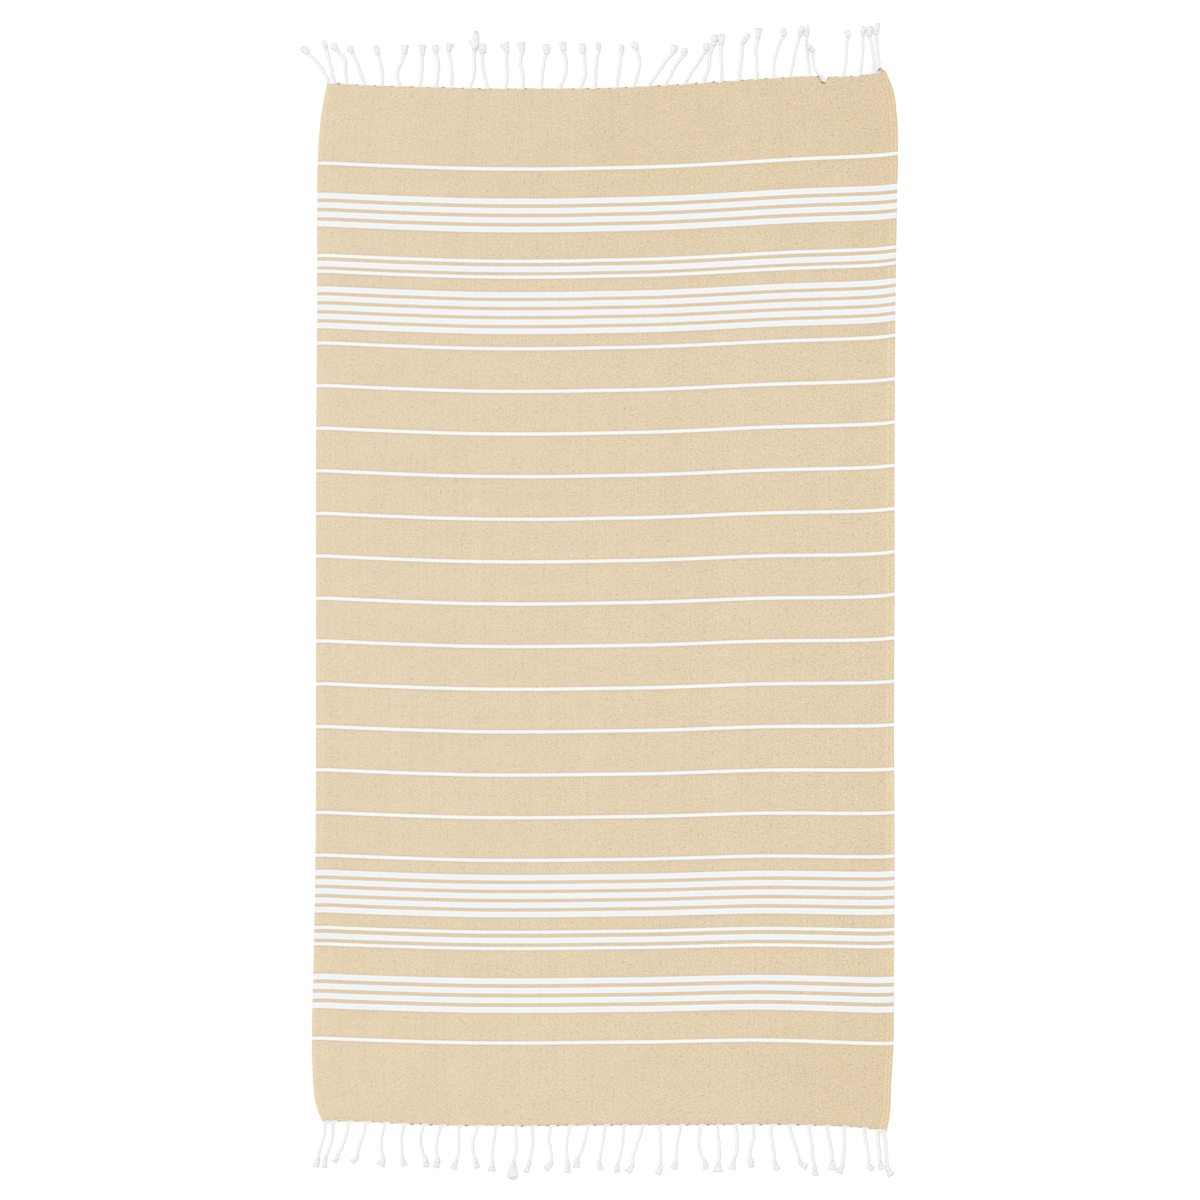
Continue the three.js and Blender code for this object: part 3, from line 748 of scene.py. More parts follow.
# White cotton: mottled fibres round and along the cord, blended towards a bluish grey by the piece's
# per-point attribute of painted shade
def makeCotton(yarnGroup):
    material, tree, surface = newMaterial("whiteCotton")
    place, around, along = millimetres(tree, "lay")
    yarn = placeGroup(tree, yarnGroup, Place=place, Mottling=cotton["mottling"], Length=1.5, Width=4.0)
    grooveAndShade = addNode(tree, "ShaderNodeAttribute", attribute_name="grooveAndShade")
    mottled = calc(tree, "ADD", yarn["Shade"], 0.15, clamp=True)
    colour = blendColours(tree, mottled, cotton["white"], cotton["shade"])
    # painted shade, by the piece's attribute
    colour = blendColours(tree, grooveAndShade.outputs["Fac"], colour, cotton["grooveAndShade"])
    plug(tree, colour, surface.inputs["Base Color"])
    slanting = addUp(tree, around, times(tree, along, cotton["fibreSlant"]))
    fibres = calc(tree, "SINE", times(tree, slanting, 2 * math.pi / cotton["fibrePitch"]))
    fibreRelief = times(tree, fibres, cotton["fibreRelief"])
    addRelief(tree, surface, addUp(tree, fibreRelief, yarn["Fluff"]), 0.4, 0.2)
    addRoughness(tree, surface, yarn["Fluff"], 0.83, 0.1)
    return material


# dark brown of the weft loops: painted shade of the hollows at the cloth's edge
shadowedWeftYarn = {"light": (0.42, 0.26, 0.12), "dark": (0.16, 0.085, 0.04)}


# Cotton of the drawn-out weft loops, mottled along the yarn, in a brown far darker than the sand weft:
# painted shade of the hollows at the cloth's edge
def makeShadowedWeftYarn(yarnGroup):
    material, tree, surface = newMaterial("shadowedWeftYarn")
    place = millimetres(tree, "lay")[0]
    yarn = placeGroup(tree, yarnGroup, Place=place, Mottling=1.6, Length=1.2, Width=2.5)
    mottled = calc(tree, "ADD", yarn["Shade"], 0.5, clamp=True)
    colour = blendColours(tree, mottled, shadowedWeftYarn["light"], shadowedWeftYarn["dark"])
    plug(tree, colour, surface.inputs["Base Color"])
    addRelief(tree, surface, yarn["Fluff"], 0.4, 0.2)
    addRoughness(tree, surface, yarn["Fluff"], 0.83, 0.1)
    return material


yarnGroup = makeYarnGroup()
sandWeave = makeWeave(yarnGroup, makeStripeGroup())
whiteCotton = makeCotton(yarnGroup)
shadowedBrownWeft = makeShadowedWeftYarn(yarnGroup)
print("finishes made")


def putInScene(name, data):
    thing = bpy.data.objects.new(name, data)
    bpy.context.scene.collection.objects.link(thing)
    return thing


# A piece from points in millimetres and faces, with its UV maps in corner order
def addPiece(name, points, faces, material, node, maps=None, attributes=None, sharpAngle=None):
    mesh = bpy.data.meshes.new(name)
    mesh.from_pydata(points * mm, [], faces)
    for mapName, corners in (maps or {}).items():
        spots = np.ascontiguousarray(corners, np.float32).ravel()
        mesh.uv_layers.new(name=mapName).uv.foreach_set("vector", spots)
    for attributeName, values in (attributes or {}).items():
        attribute = mesh.attributes.new(attributeName, "FLOAT", "POINT")
        attribute.data.foreach_set("value", np.asarray(values, np.float32))
    mesh.shade_smooth()
    if sharpAngle:
        mesh.set_sharp_from_angle(angle=math.radians(sharpAngle))
    mesh.materials.append(material)
    piece = putInScene(name, mesh)
    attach(piece, "root")
    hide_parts(node)
    return piece


# Fills the gaps between places with even steps no longer than the given one
def fillGaps(places, longest):
    places = np.unique(np.round(places, 4))
    counts = np.ceil(np.diff(places) / longest).astype(int)
    parts = [np.linspace(a, b, n, endpoint=False) for a, b, n in zip(places[:-1], places[1:], counts)]
    return np.concatenate([*parts, places[-1:]])


cloth = {
    "underShare": 0.12,  # of the baked map's width, for the underside
    "bakeStrip": 0.002,  # of the baked map, for the narrow faces at the edges
    "columnStep": 9.6,
    "rowStep": 13.5,
    "endRows": np.array([0, 0.6, 1.4, 2.4, 3.6, 5.5, 8, 12, 18]),
    "leftColumns": np.array([0, 0.7, 1.8, 3.2, 4.8, 6.4, 8, 9.6, 11, 12.2, 13.6, 17]),
    "rightColumns": np.array([0, 0.8, 2.3, 3.9, 5.5, 7, 8.5, 10.1, 11.7, 13.2, 14.4, 16, 19]),
    "humpColumns": 9,
    "sunk": 0.1,  # how far the plain weave's top is below the full thickness
    "stripeRelief": 0.28,
    "stripeShoulder": 0.5,
    "leftRoll": {"at": 5.0, "halfWidth": 7.0, "high": 0.35},
    "leftGroove": {"at": 12.4, "halfWidth": 1.8, "deep": 0.12},
    "rightRidges": {"high": 0.28, "wide": 15.0, "fade": 3.0},
    "puckers": {"high": 0.35, "reach": 22.0, "pitch": 30.5, "shift": 1.7, "shiftEvery": 140},
    "endDip": {"deep": 0.5, "reach": 3.0},
    "ripple": {"high": 0.25, "fade": 60, "along": (61, 1.3, 170), "across": (93, 0.8, 210)},
    "edgeBulge": 0.35,
}
stripeMiddles = np.concatenate([s["first"] + s["pitch"] * np.arange(s["count"]) for s in stripeSets])
stripeHalves = np.concatenate([np.full(s["count"], s["width"] / 2) for s in stripeSets])


def clothRows():
    shoulder = cloth["stripeShoulder"]
    edges = [
        stripeMiddles + side * (stripeHalves + grow)
        for side in (-1, 1) for grow in (-shoulder, shoulder)
    ]
    ends = cloth["endRows"]
    places = np.concatenate([ends, laid["length"] - ends, stripeMiddles, *edges])
    return fillGaps(places, cloth["rowStep"])


def clothColumns():
    width, bite = laid["flatWidth"], laid["bite"]
    left, right = laidRow(np.array([laid["length"]]))[0, :2]
    humps = [(fold["across"] * width, laid["foldHalfWidth"]) for fold in laid["foldLines"]]
    humps.append(((bite["x"] - left) / (right - left) * width, bite["halfWidth"]))
    parts = [middle + np.linspace(-half, half, cloth["humpColumns"]) for middle, half in humps]
    parts += [cloth["leftColumns"], width - cloth["rightColumns"]]
    return fillGaps(np.concatenate(parts), cloth["columnStep"]) / width


driftMore = {
    "less": 0.2,
    "middle": {"from": 610, "to": 975, "fade": 70, "more": 1.0},
    "far": {"from": 1300, "fade": 150, "across": 0.83, "halfWidth": 0.12, "more": 0.6},
    "endFade": 60,
}


# How far a weft's own stripe stands from the plain bow: the table across, more for the narrow
# stripes in the middle and for the upper right ones, and nothing at the two ends
def driftAt(across, along):
    middle, far = driftMore["middle"], driftMore["far"]
    inMiddle = easeIn((along - middle["from"]) / middle["fade"])
    inMiddle *= easeIn((middle["to"] - along) / middle["fade"])
    inFar = easeIn((along - far["from"]) / far["fade"]) * hump(across - far["across"], far["halfWidth"])
    drift = curveWeights(across, weftDrift[:, 0]) @ weftDrift[:, 1]
    drift += middle["more"] * inMiddle + far["more"] * inFar - driftMore["less"]
    return drift * easeIn(np.minimum(along, laid["length"] - along) / driftMore["endFade"])


# The cloth's underside and top at each crossing. Top = ground height + ripples + thickness +
# stripes + edges + puckers.
def clothSurfaces(across, along):
    ground = layOnGround(across, along + driftAt(across, along))
    fromLeft = across * laid["flatWidth"]
    fromRight = laid["flatWidth"] - fromLeft
    fromEnd = np.minimum(along, laid["length"] - along)

    alongLength, alongSway, alongSwayLength = cloth["ripple"]["along"]
    acrossLength, acrossSway, acrossSwayLength = cloth["ripple"]["across"]
    ripple = np.sin(along / alongLength + alongSway * np.sin(fromLeft / alongSwayLength))
    ripple *= np.sin(fromLeft / acrossLength + acrossSway * np.sin(along / acrossSwayLength))
    ripple = cloth["ripple"]["high"] * (0.5 + 0.5 * ripple) * easeIn(fromEnd / cloth["ripple"]["fade"])
    offStripe = np.abs(along[:, None] - stripeMiddles[None]) - stripeHalves[None]
    shoulder = cloth["stripeShoulder"]
    relief = cloth["stripeRelief"] * easeIn((shoulder - offStripe.min(1)) / (2 * shoulder))
    roll, grooveAndShade, ridges = cloth["leftRoll"], cloth["leftGroove"], cloth["rightRidges"]
    relief += roll["high"] * hump(fromLeft - roll["at"], roll["halfWidth"])
    relief -= grooveAndShade["deep"] * hump(fromLeft - grooveAndShade["at"], grooveAndShade["halfWidth"])
    ridgeTurns = (fromRight - selfEdges["ridgeFirst"]) / selfEdges["ridgePitch"]
    ridge = 0.5 - 0.5 * np.cos(2 * np.pi * ridgeTurns)
    relief += ridges["high"] * ridge * easeIn((ridges["wide"] - fromRight) / ridges["fade"])
    puckers = cloth["puckers"]
    shift = puckers["shift"] * np.sin(ground[:, 0] / puckers["shiftEvery"])
    pucker = 0.5 + 0.5 * np.cos(2 * np.pi * ground[:, 0] / puckers["pitch"] + shift)
    relief += puckers["high"] * pucker * np.exp(-fromEnd / puckers["reach"])
    relief -= cloth["endDip"]["deep"] * hump(fromEnd, cloth["endDip"]["reach"])

    under = ground + np.stack([0 * ripple, 0 * ripple, ripple], 1)
    over = under + np.stack([0 * ripple, 0 * ripple, laid["thickness"] - cloth["sunk"] + relief], 1)
    return under, over


# Faces between the rings of a tube that is flat: its skin, a cap at either end from the top's
# points to those facing them underneath, and the caps' corners
def clothFaces(rowCount, columnCount, ringSize):
    ringStarts = np.arange(rowCount - 1)[:, None] * ringSize
    here = ringStarts + np.arange(ringSize)[None]
    beyond = ringStarts + (np.arange(ringSize)[None] + 1) % ringSize
    skin = np.stack([here, beyond, beyond + ringSize, here + ringSize], 2).reshape(-1, 4)
    top = 1 + np.arange(columnCount - 1)
    facing = ringSize - 1 - np.arange(columnCount - 1)
    lastRing = (rowCount - 1) * ringSize
    nearCap = np.stack([top, facing, facing - 1, top + 1], 1)
    farCap = lastRing + np.stack([top, top + 1, facing - 1, facing], 1)
    rightSide = columnCount + 1
    corners = np.array([[0, ringSize - 1, 1], [columnCount, rightSide + 1, rightSide]])
    return skin, nearCap, farCap, corners, lastRing + corners[:, ::-1]


# The baked map, in the faces' corner order: the top over most of its width, the underside in the
# rest, and the narrow faces at the edges in strips beside them
def clothBakeMap(columns, rows, nearCap, farCap):
    ringSize, rowCount, columnCount = 2 * len(columns) + 2, len(rows), len(columns)
    strip, overEdge = cloth["bakeStrip"], 1 - cloth["underShare"]
    overShares = 2 * strip + (overEdge - 5 * strip) * columns
    underShares = overEdge + (1 - 3 * strip - overEdge) * (1 - columns[::-1])
    bakeAcross = np.concatenate([[strip], overShares, [overEdge - 1.5 * strip], underShares])
    bakeWrap = np.append(bakeAcross, 1 - strip)
    bakeAlong = 3 * strip + (1 - 6 * strip) * rows / laid["length"]
    rowAt, ringAt = np.meshgrid(np.arange(rowCount - 1), np.arange(ringSize), indexing="ij")
    skinSpots = np.stack([
        np.stack([bakeWrap[ringAt + ring], bakeAlong[rowAt + row]], -1)
        for ring, row in ((0, 0), (1, 0), (1, 1), (0, 1))
    ], 2).reshape(-1, 2)
    capSpots = []
    for cap, low in ((nearCap, 0.0), (farCap - (rowCount - 1) * ringSize, 1 - 2 * strip)):
        isUnder = cap > columnCount
        spotAcross = bakeAcross[np.where(isUnder, ringSize - cap, cap)]
        spots = np.stack([spotAcross, np.where(isUnder, low, low + 2 * strip)], -1)
        capSpots.append(spots.reshape(-1, 2))
    cornerSpot = strip * np.array([[0, 0], [0, 1], [1, 1]])
    cornerSpots = np.concatenate([cornerSpot + [strip, 0], cornerSpot + [overEdge, 0]])
    return np.concatenate([skinSpots, *capSpots, cornerSpots, cornerSpots + [0, 1 - 1.5 * strip]])


# The cloth's section across, from its left edge over the top to its right edge and back under, is
# carried along its length
def buildCloth():
    columns, rows = clothColumns(), clothRows()
    across, along = np.meshgrid(columns, rows)
    shape = (len(rows), len(columns), 3)
    under, over = (side.reshape(shape) for side in clothSurfaces(across.ravel(), along.ravel()))
    left = (under[:, :1] + over[:, :1]) / 2 - [cloth["edgeBulge"], 0, 0]
    right = (under[:, -1:] + over[:, -1:]) / 2 + [cloth["edgeBulge"], 0, 0]
    rings = np.concatenate([left, over, right, under[:, ::-1]], 1)
    ringSize = rings.shape[1]
    parts = clothFaces(len(rows), len(columns), ringSize)
    faces = [face for part in parts for face in part.tolist()]

    # the weave's map is millimetres across and along, laid flat
    ringAcross = np.concatenate([[0], columns, [1], columns[::-1]]) * laid["flatWidth"]
    flatAcross, flatAlong = np.meshgrid(ringAcross * mm, rows * mm)
    flat = np.stack([flatAcross, flatAlong], 2).reshape(-1, 2)
    cornerOrder = np.concatenate([part.ravel() for part in parts])
    bakeMap = clothBakeMap(columns, rows, parts[1], parts[2])
    piece = addPiece(
        "blanketCloth", rings.reshape(-1, 3), faces, sandWeave, "cloth",
        maps={"OFBake": bakeMap, "weave": flat[cornerOrder]}, sharpAngle=60,
    )
    print("cloth made:", len(rows), "rows,", len(columns), "columns")
    return piece


clothPiece = buildCloth()


def unitLength(arrows):
    return arrows / np.linalg.norm(arrows, axis=-1, keepdims=True)


bakeCell = {
    "margin": 0.05,
    "tipMargin": 0.02,
    "slimness": 3,  # how many times as tall as wide, where there are so many tubes
    "many": 60,
}


# Rings of points round paths (tube, step, xyz). A point = its path point + sideways times the radius
# times cos + upwards times the radius times sin, with radii as (tube, step, side or 1).
def ringsAlong(paths, radii, sides):
    forward = unitLength(np.gradient(paths, axis=1))
    sideways = np.cross(forward, [0.0, 0.0, 1.0])
    sideways /= np.maximum(np.linalg.norm(sideways, axis=2, keepdims=True), 1e-6)
    upwards = np.cross(sideways, forward)
    angle = (2 * np.pi * np.arange(sides) / sides)[None, None, :, None]
    spread = np.broadcast_to(radii, (*paths.shape[:2], sides))[..., None]
    around = np.cos(angle) * sideways[:, :, None] + np.sin(angle) * upwards[:, :, None]
    return paths[:, :, None] + spread * around


# Closed tubes from rings of points (tube, step, side, xyz): four-sided faces between the rings, and
# a fan round the path's own point at both ends
def tubes(paths, rings, girth):
    count, steps, sides = rings.shape[:3]
    tube, step, side = np.meshgrid(np.arange(count), np.arange(steps - 1), np.arange(sides), indexing="ij")
    here = (tube * steps + step) * sides + side
    beyond = (tube * steps + step) * sides + (side + 1) % sides
    quads = np.stack([here, here + sides, beyond + sides, beyond], 3).reshape(-1, 4)
    first = np.arange(count)[:, None] * steps * sides + np.arange(sides)[None]
    after = np.arange(count)[:, None] * steps * sides + (np.arange(sides)[None] + 1) % sides
    last = (steps - 1) * sides
    tip = count * steps * sides + np.arange(count)[:, None] + 0 * first
    startFan = np.stack([tip, first, after], 2).reshape(-1, 3)
    endFan = np.stack([tip + count, after + last, first + last], 2).reshape(-1, 3)
    return {
        "points": np.concatenate([rings.reshape(-1, 3), paths[:, 0], paths[:, -1]]),
        "faces": [*quads.tolist(), *startFan.tolist(), *endFan.tolist()],
        "maps": tubeMaps(paths, sides, girth),
    }


# Maps in the order of the tubes' faces: "lay" is millimetres round and along the tube, and "OFBake"
# gives each tube a cell of its own
def tubeMaps(paths, sides, girth):
    count, steps = paths.shape[:2]
    hops = np.linalg.norm(np.diff(paths, axis=1), axis=2)
    arc = np.concatenate([np.zeros((count, 1)), np.cumsum(hops, 1)], 1)
    isMany = count > bakeCell["many"]
    across = math.ceil(math.sqrt(count * bakeCell["slimness"])) if isMany else count
    down = math.ceil(count / across)
    margin, tipMargin = bakeCell["margin"], bakeCell["tipMargin"]
    span = 1 - 2 * margin

    def inCell(tube, u, v):
        return np.stack([(tube % across + margin + span * u) / across, (tube // across + v) / down], -1)

    tube, step, side = np.meshgrid(np.arange(count), np.arange(steps - 1), np.arange(sides), indexing="ij")
    corners = ((side, step), (side, step + 1), (side + 1, step + 1), (side + 1, step))
    bake = [np.stack([inCell(tube, s / sides, margin + span * k / (steps - 1)) for s, k in corners], 3)]
    lay = [np.stack([np.stack([girth * s / sides, arc[tube, k]], 3) for s, k in corners], 3)]
    tube, side = np.meshgrid(np.arange(count), np.arange(sides), indexing="ij")
    for k, edgeRow, tipRow, order in (
        (0, margin, tipMargin, (0, 1)), (-1, 1 - margin, 1 - tipMargin, (1, 0)),
    ):
        spots = [(0.5 + 0 * side, tipRow)] + [((side + hop) / sides, edgeRow) for hop in order]
        bake.append(np.stack([inCell(tube, u, v) for u, v in spots], 2))
        lay.append(np.stack([np.stack([girth * u, arc[tube, k]], 2) for u, v in spots], 2))
    return {
        "OFBake": np.concatenate([part.reshape(-1, 2) for part in bake]),
        "lay": np.concatenate([part.reshape(-1, 2) for part in lay]) * mm,
    }


# Round tubes of their own radii
def roundTubes(paths, radii, sides):
    return tubes(paths, ringsAlong(paths, radii, sides), 2 * np.pi * np.mean(radii))


cord = {
    "radius": 2.85,
    "knotRadius": 2.5,
    "knotSideways": 2.35,  # the strand's middle stays this far inside the knot's half width
    "knotShade": 0.16,
    "rootRadius": 1.3,
    "slim": 0.86,  # of the radius, for a fringe's slimmer cords
    "strands": 2,
    "lay": 10.5,  # length of one full turn of the strands
    "grooveDepth": 0.30,
    "grooveShade": 0.85,
    "oneSided": 1.2,  # how much more painted shade the grooves get on one side of a cord
    "topShade": 0.22,  # share of the grooves' painted shade that is left on top of the cord
    "sideShade": 0.14,  # painted shade where the cord turns down to the ground
    "sides": 16,
    "steps": 108,
    "startInset": 0.6,  # from the cloth's edge back under the last weft
    "startHeight": 1.4,
    "stations": np.array([0, 0.1, 1 / 3, 0.5, 2 / 3, 0.82]),  # shares of the reach before the knot
    "settled": 0.3,  # share of the reach at which the cord lies on the ground
    "rootTaper": 9.0,
    "wander": 0.3,
    "wanderLengths": (2.9, 5.3),
    "longerWander": 0.7,  # of the shorter one's
    "wanderFade": 15.0,
    "tiedAbove": 7.0,  # a cord whose knot is narrower than this ends untied
    "knotFade": 5.0,
    "knotHalfLength": 3.8,
    "knotMiddle": 4.4,
    "knotRise": 3.4,
    "leastShade": 0.1,
    "endShade": 0.3,
    "clear": 0.02,  # how far cords and yarns stay above the ground
}
# A tight overhand knot: along the cord, sideways and up, in halves of the knot's size
overhand = np.array([
    [-1.75, 0.0, -0.55],
    [-0.85, 0.20, -0.55],
    [0.10, 0.80, -0.45],
    [0.88, 0.45, 0.25],
    [0.70, -0.60, 0.60],
    [-0.15, -0.98, 0.25],
    [-0.85, -0.40, 0.15],
    [-0.70, 0.50, 0.62],
    [-0.05, 0.72, 0.55],
    [0.10, -0.02, 0.10],
    [0.90, -0.10, -0.45],
    [1.55, 0.0, -0.55],
])


# The middle line of every cord of a fringe: from under the last weft along its reach on the
# ground, through its knot, and out to where its ends fray
def cordPaths(spec, draws):
    at, low, high, lean, reach, knot, tuft, drift = spec["cords"][:, :8].T
    outward = spec["outward"]
    count = len(at)
    edge = layOnGround(acrossAt(at, spec["along"]), np.full(count, spec["along"]))
    rootY = edge[:, 1] + outward * cord["radius"]
    shares = cord["stations"]
    weights = curveWeights(shares, np.array([0, 1 / 3, 2 / 3, 1]))
    x = at[:, None] + np.stack([0 * low, low, high, lean], 1) @ weights.T
    y = rootY[:, None] + outward * reach[:, None] * shares
    settle = easeIn(shares / cord["settled"])
    z = (edge[:, 2:] + laid["thickness"]) * (1 - settle) + cord["radius"] * settle
    startY = edge[:, 1] - outward * cord["startInset"]
    start = np.stack([at, startY, edge[:, 2] + cord["startHeight"]], 1)[:, None]
    straight = np.concatenate([start, np.stack([x, y, z], 2)], 1)

    middle = np.stack([at + lean, rootY + outward * reach], 1)
    came = middle - straight[:, -1, :2]
    goes = np.stack([drift, outward * tuft], 1)
    ahead = unitLength(unitLength(came) + unitLength(goes))
    beside = np.stack([ahead[:, 1], -ahead[:, 0]], 1) * np.where(draws.random(count) < 0.5, -1, 1)[:, None]
    tied = (knot > cord["tiedAbove"])[:, None]
    passes = np.linspace(overhand[0, 0], overhand[-1, 0], len(overhand))
    alongKnot = np.where(tied, overhand[:, 0], passes) * cord["knotHalfLength"]
    aside = (knot[:, None] - spec["knotTighter"]) / 2 - cord["knotSideways"]
    asideKnot = np.where(tied, overhand[:, 1] * aside, 0)
    upKnot = np.where(tied, cord["knotMiddle"] + overhand[:, 2] * cord["knotRise"], cord["radius"])
    knotXy = middle[:, None] + alongKnot[..., None] * ahead[:, None]
    knotXy = knotXy + asideKnot[..., None] * beside[:, None]
    control = np.concatenate([straight, np.concatenate([knotXy, upKnot[..., None]], 2)], 1)

    hops = np.linalg.norm(np.diff(control, axis=1), axis=2).mean(0)
    stations = np.concatenate([[0], np.cumsum(hops)])
    lastStraight, firstKnot = stations[len(shares)], stations[len(shares) + 1]
    places = np.linspace(0, stations[-1], cord["steps"])
    paths = np.einsum("sk,ckx->csx", curveWeights(places, stations), control)
    fade = cord["wanderFade"]
    onReach = easeIn(places / fade) * easeIn((lastStraight - places) / fade)
    phase = draws.random((count, 2)) * 2 * np.pi
    shorter, longer = cord["wanderLengths"]
    wander = np.sin(places[None] / shorter + phase[:, :1])
    wander = wander + cord["longerWander"] * np.sin(places[None] / longer + phase[:, 1:])
    paths[..., 0] += cord["wander"] * wander * onReach
    inKnot = easeIn((places - firstKnot) / cord["knotFade"]) * tied
    isSlim = (at > spec["slimSpan"][0]) & (at < spec["slimSpan"][1])
    full = cord["radius"] * np.where(isSlim, cord["slim"], 1)[:, None]
    thick = cord["rootRadius"] + (full - cord["rootRadius"]) * easeIn(places / cord["rootTaper"])
    radius = thick * (1 - inKnot) + cord["knotRadius"] * inKnot
    paths[..., 2] = np.maximum(paths[..., 2], radius + cord["clear"])
    return {
        "paths": paths, "radius": radius[..., None], "ahead": ahead, "knot": middle,
        "inKnot": inKnot[..., None],
    }


def fringePiece(name, fringe, made, grooveAndShade, material=whiteCotton, node=None):
    return addPiece(
        name, made["points"], made["faces"], material, node or "fringe_" + fringe,
        maps=made["maps"], attributes={"grooveAndShade": grooveAndShade},
    )


# Cords: the radius of the section is largest at the strands and smallest in the grooves between
# them, radius times (1 - depth + depth times |cos(strands times angle / 2)|), turned along the lay
def buildCords(fringe, lines, draws):
    sides, paths = cord["sides"], lines["paths"]
    count = len(paths)
    steps = np.linalg.norm(np.diff(paths, axis=1), axis=2)
    arc = np.concatenate([np.zeros((count, 1)), np.cumsum(steps, 1)], 1)
    phase = draws.random((count, 1)) * 2 * np.pi
    angle = 2 * np.pi * np.arange(sides) / sides
    strandAngle = angle - (2 * np.pi * arc / cord["lay"] + phase)[..., None]
    ridge = np.abs(np.cos(cord["strands"] * strandAngle / 2))
    depth = cord["grooveDepth"]
    made = roundTubes(paths, lines["radius"] * (1 - depth + depth * ridge), sides)
    # Painted shade: in the grooves, more on one side of each cord and less on its top, where it turns down
    # to the ground, in the knot and on the end caps
    lean = cord["oneSided"] * draws.uniform(-1, 1, (count, 1, 1))
    onSide = cord["topShade"] + (1 - cord["topShade"]) * np.cos(angle) ** 2
    uneven = np.maximum(cord["leastShade"], 1 + lean * np.cos(angle))
    shade = cord["grooveShade"] * (1 - ridge) ** 2 * uneven * onSide
    shade += cord["sideShade"] * np.cos(angle) ** 4
    shade += cord["knotShade"] * lines["inKnot"]
    grooveAndShade = np.concatenate([shade.ravel(), np.full(2 * count, cord["endShade"])])
    return fringePiece(fringe + "Cords", fringe, made, grooveAndShade)


tuftForm = {
    "sides": 26,
    "steps": 16,
    "closing": np.array([[0.01, 0.8], [0, 0.3]]),  # last rings: before the body's end, width
    "closingFrom": 0.03,
    "flutes": 9,
    "fluteDepth": 0.05,
    "fluteTurn": 1.5,
    # painted shade of a tuft's body: all over, more in its flutes, more at its end
    "bodyShade": 0.14,
    "fluteShade": 0.08,
    "cutShade": 0.03,  # painted shade added at the body's end, so that it stays dark between the cut yarns
    "roundBelow": 12.0,  # a short tuft narrower than this is round, in a fringe that has round ones
    "roundExtra": 1.0,  # a round tuft is this much wider than in the table
    "roundShorter": 1.8,
    "cutExtra": 0.8,
    "flatness": 0.52,
    "leastHigh": 0.7,
    "highest": 3.6,
    "clear": 0.1,  # how far a tuft stays above the ground
    "startPast": 0.6,  # how far past the knot's middle a tuft starts
    "startHeight": 4.2,
    "downBy": 2 / 3,  # share of the tuft at which it has come down to the ground
    "liftedBy": 1 / 3,
    "longAbove": 20.0,  # a tuft longer than this has its own outline
    "wideAbove": 15.0,  # a long tuft wider than this is a wide one
    "bodyEnd": 0.88,  # share of the length at which the body stops and leaves the yarns alone
    "yarns": 66,
    "longYarns": 90,
    "innerShare": 0.45,
    "overTop": 0.35,  # the larger, the closer the outer yarns lie on top
    "innerStarts": (0.5, 0.7),  # shares of the tuft's length
    "outerStarts": (0.02, 0.18),
    "roundEnds": (0.82, 0.98),
    "cutEnds": (0.97, 1.06),
    "outerAt": (0.92, 1.0),  # shares of the tuft's radius
    "innerWithin": 0.9,
    "spurYarns": 8,
    "spurLength": 0.22,  # share of the tuft's length
    "spurBefore": 0.7,  # share of a spur that lies before its place
    "spurSpread": 0.12,
    "yarnRadius": 0.5,
    "yarnTaper": 0.3,
    "yarnSides": 5,
    "yarnSteps": 7,
    "sway": 0.25,
    "wander": 0.3,
    "wanderTurns": (4, 9),
    # least and most painted shade of a tuft's yarns, one amount a yarn
    "yarnShades": (0.04, 0.21),
}
# Half widths of a round tuft, a cut one, a long narrow one and a long wide one along their length,
# as shares of the half width
tuftOutlines = {
    "shares": np.array([0, 0.08, 0.2, 0.35, 0.5, 0.65, 0.8, 0.9, 0.96, 1]),
    "round": np.array([0.35, 0.62, 0.86, 0.98, 1, 0.98, 0.90, 0.74, 0.52, 0.25]),
    "cut": np.array([0.34, 0.40, 0.50, 0.61, 0.71, 0.81, 0.92, 0.98, 1.0, 0.98]),
    "narrow": np.array([0.40, 0.45, 0.62, 0.92, 0.84, 0.74, 0.72, 0.68, 0.58, 0.36]),
    "wide": np.array([0.28, 0.34, 0.48, 0.64, 0.78, 0.90, 0.98, 0.96, 0.84, 0.55]),
}


# Where each tuft starts and ends, its half width and its outline
def tuftFrames(spec, lines):
    knot, tuft, drift, splay = spec["cords"][:, 5:].T
    isLong = tuft > tuftForm["longAbove"]
    isRound = (splay < tuftForm["roundBelow"]) & ~isLong & spec["rounded"]
    begin = lines["knot"] + tuftForm["startPast"] * lines["ahead"]
    shorter = np.where(isRound, tuftForm["roundShorter"], spec["cutShorter"])
    finish = lines["knot"] + np.stack([drift, spec["outward"] * (tuft - shorter)], 1)
    cutExtra = tuftForm["cutExtra"] - spec["cutNarrower"]
    half = (splay + np.where(isRound, tuftForm["roundExtra"], cutExtra)) / 2
    longKinds = np.where(splay < tuftForm["wideAbove"], 2, 3)
    kinds = np.where(isRound, 0, np.where(isLong, longKinds, 1))
    outlines = np.stack([tuftOutlines[kind] for kind in ("round", "cut", "narrow", "wide")])[kinds]
    lift = np.zeros(len(knot))
    for which, high in spec["lifts"]:
        lift[which] = high
    startHeight = np.where(knot > cord["tiedAbove"], tuftForm["startHeight"], cord["radius"])
    return {
        "begin": begin, "finish": finish, "half": half, "outline": outlines, "round": isRound,
        "long": isLong, "startHeight": startHeight, "lift": lift,
    }


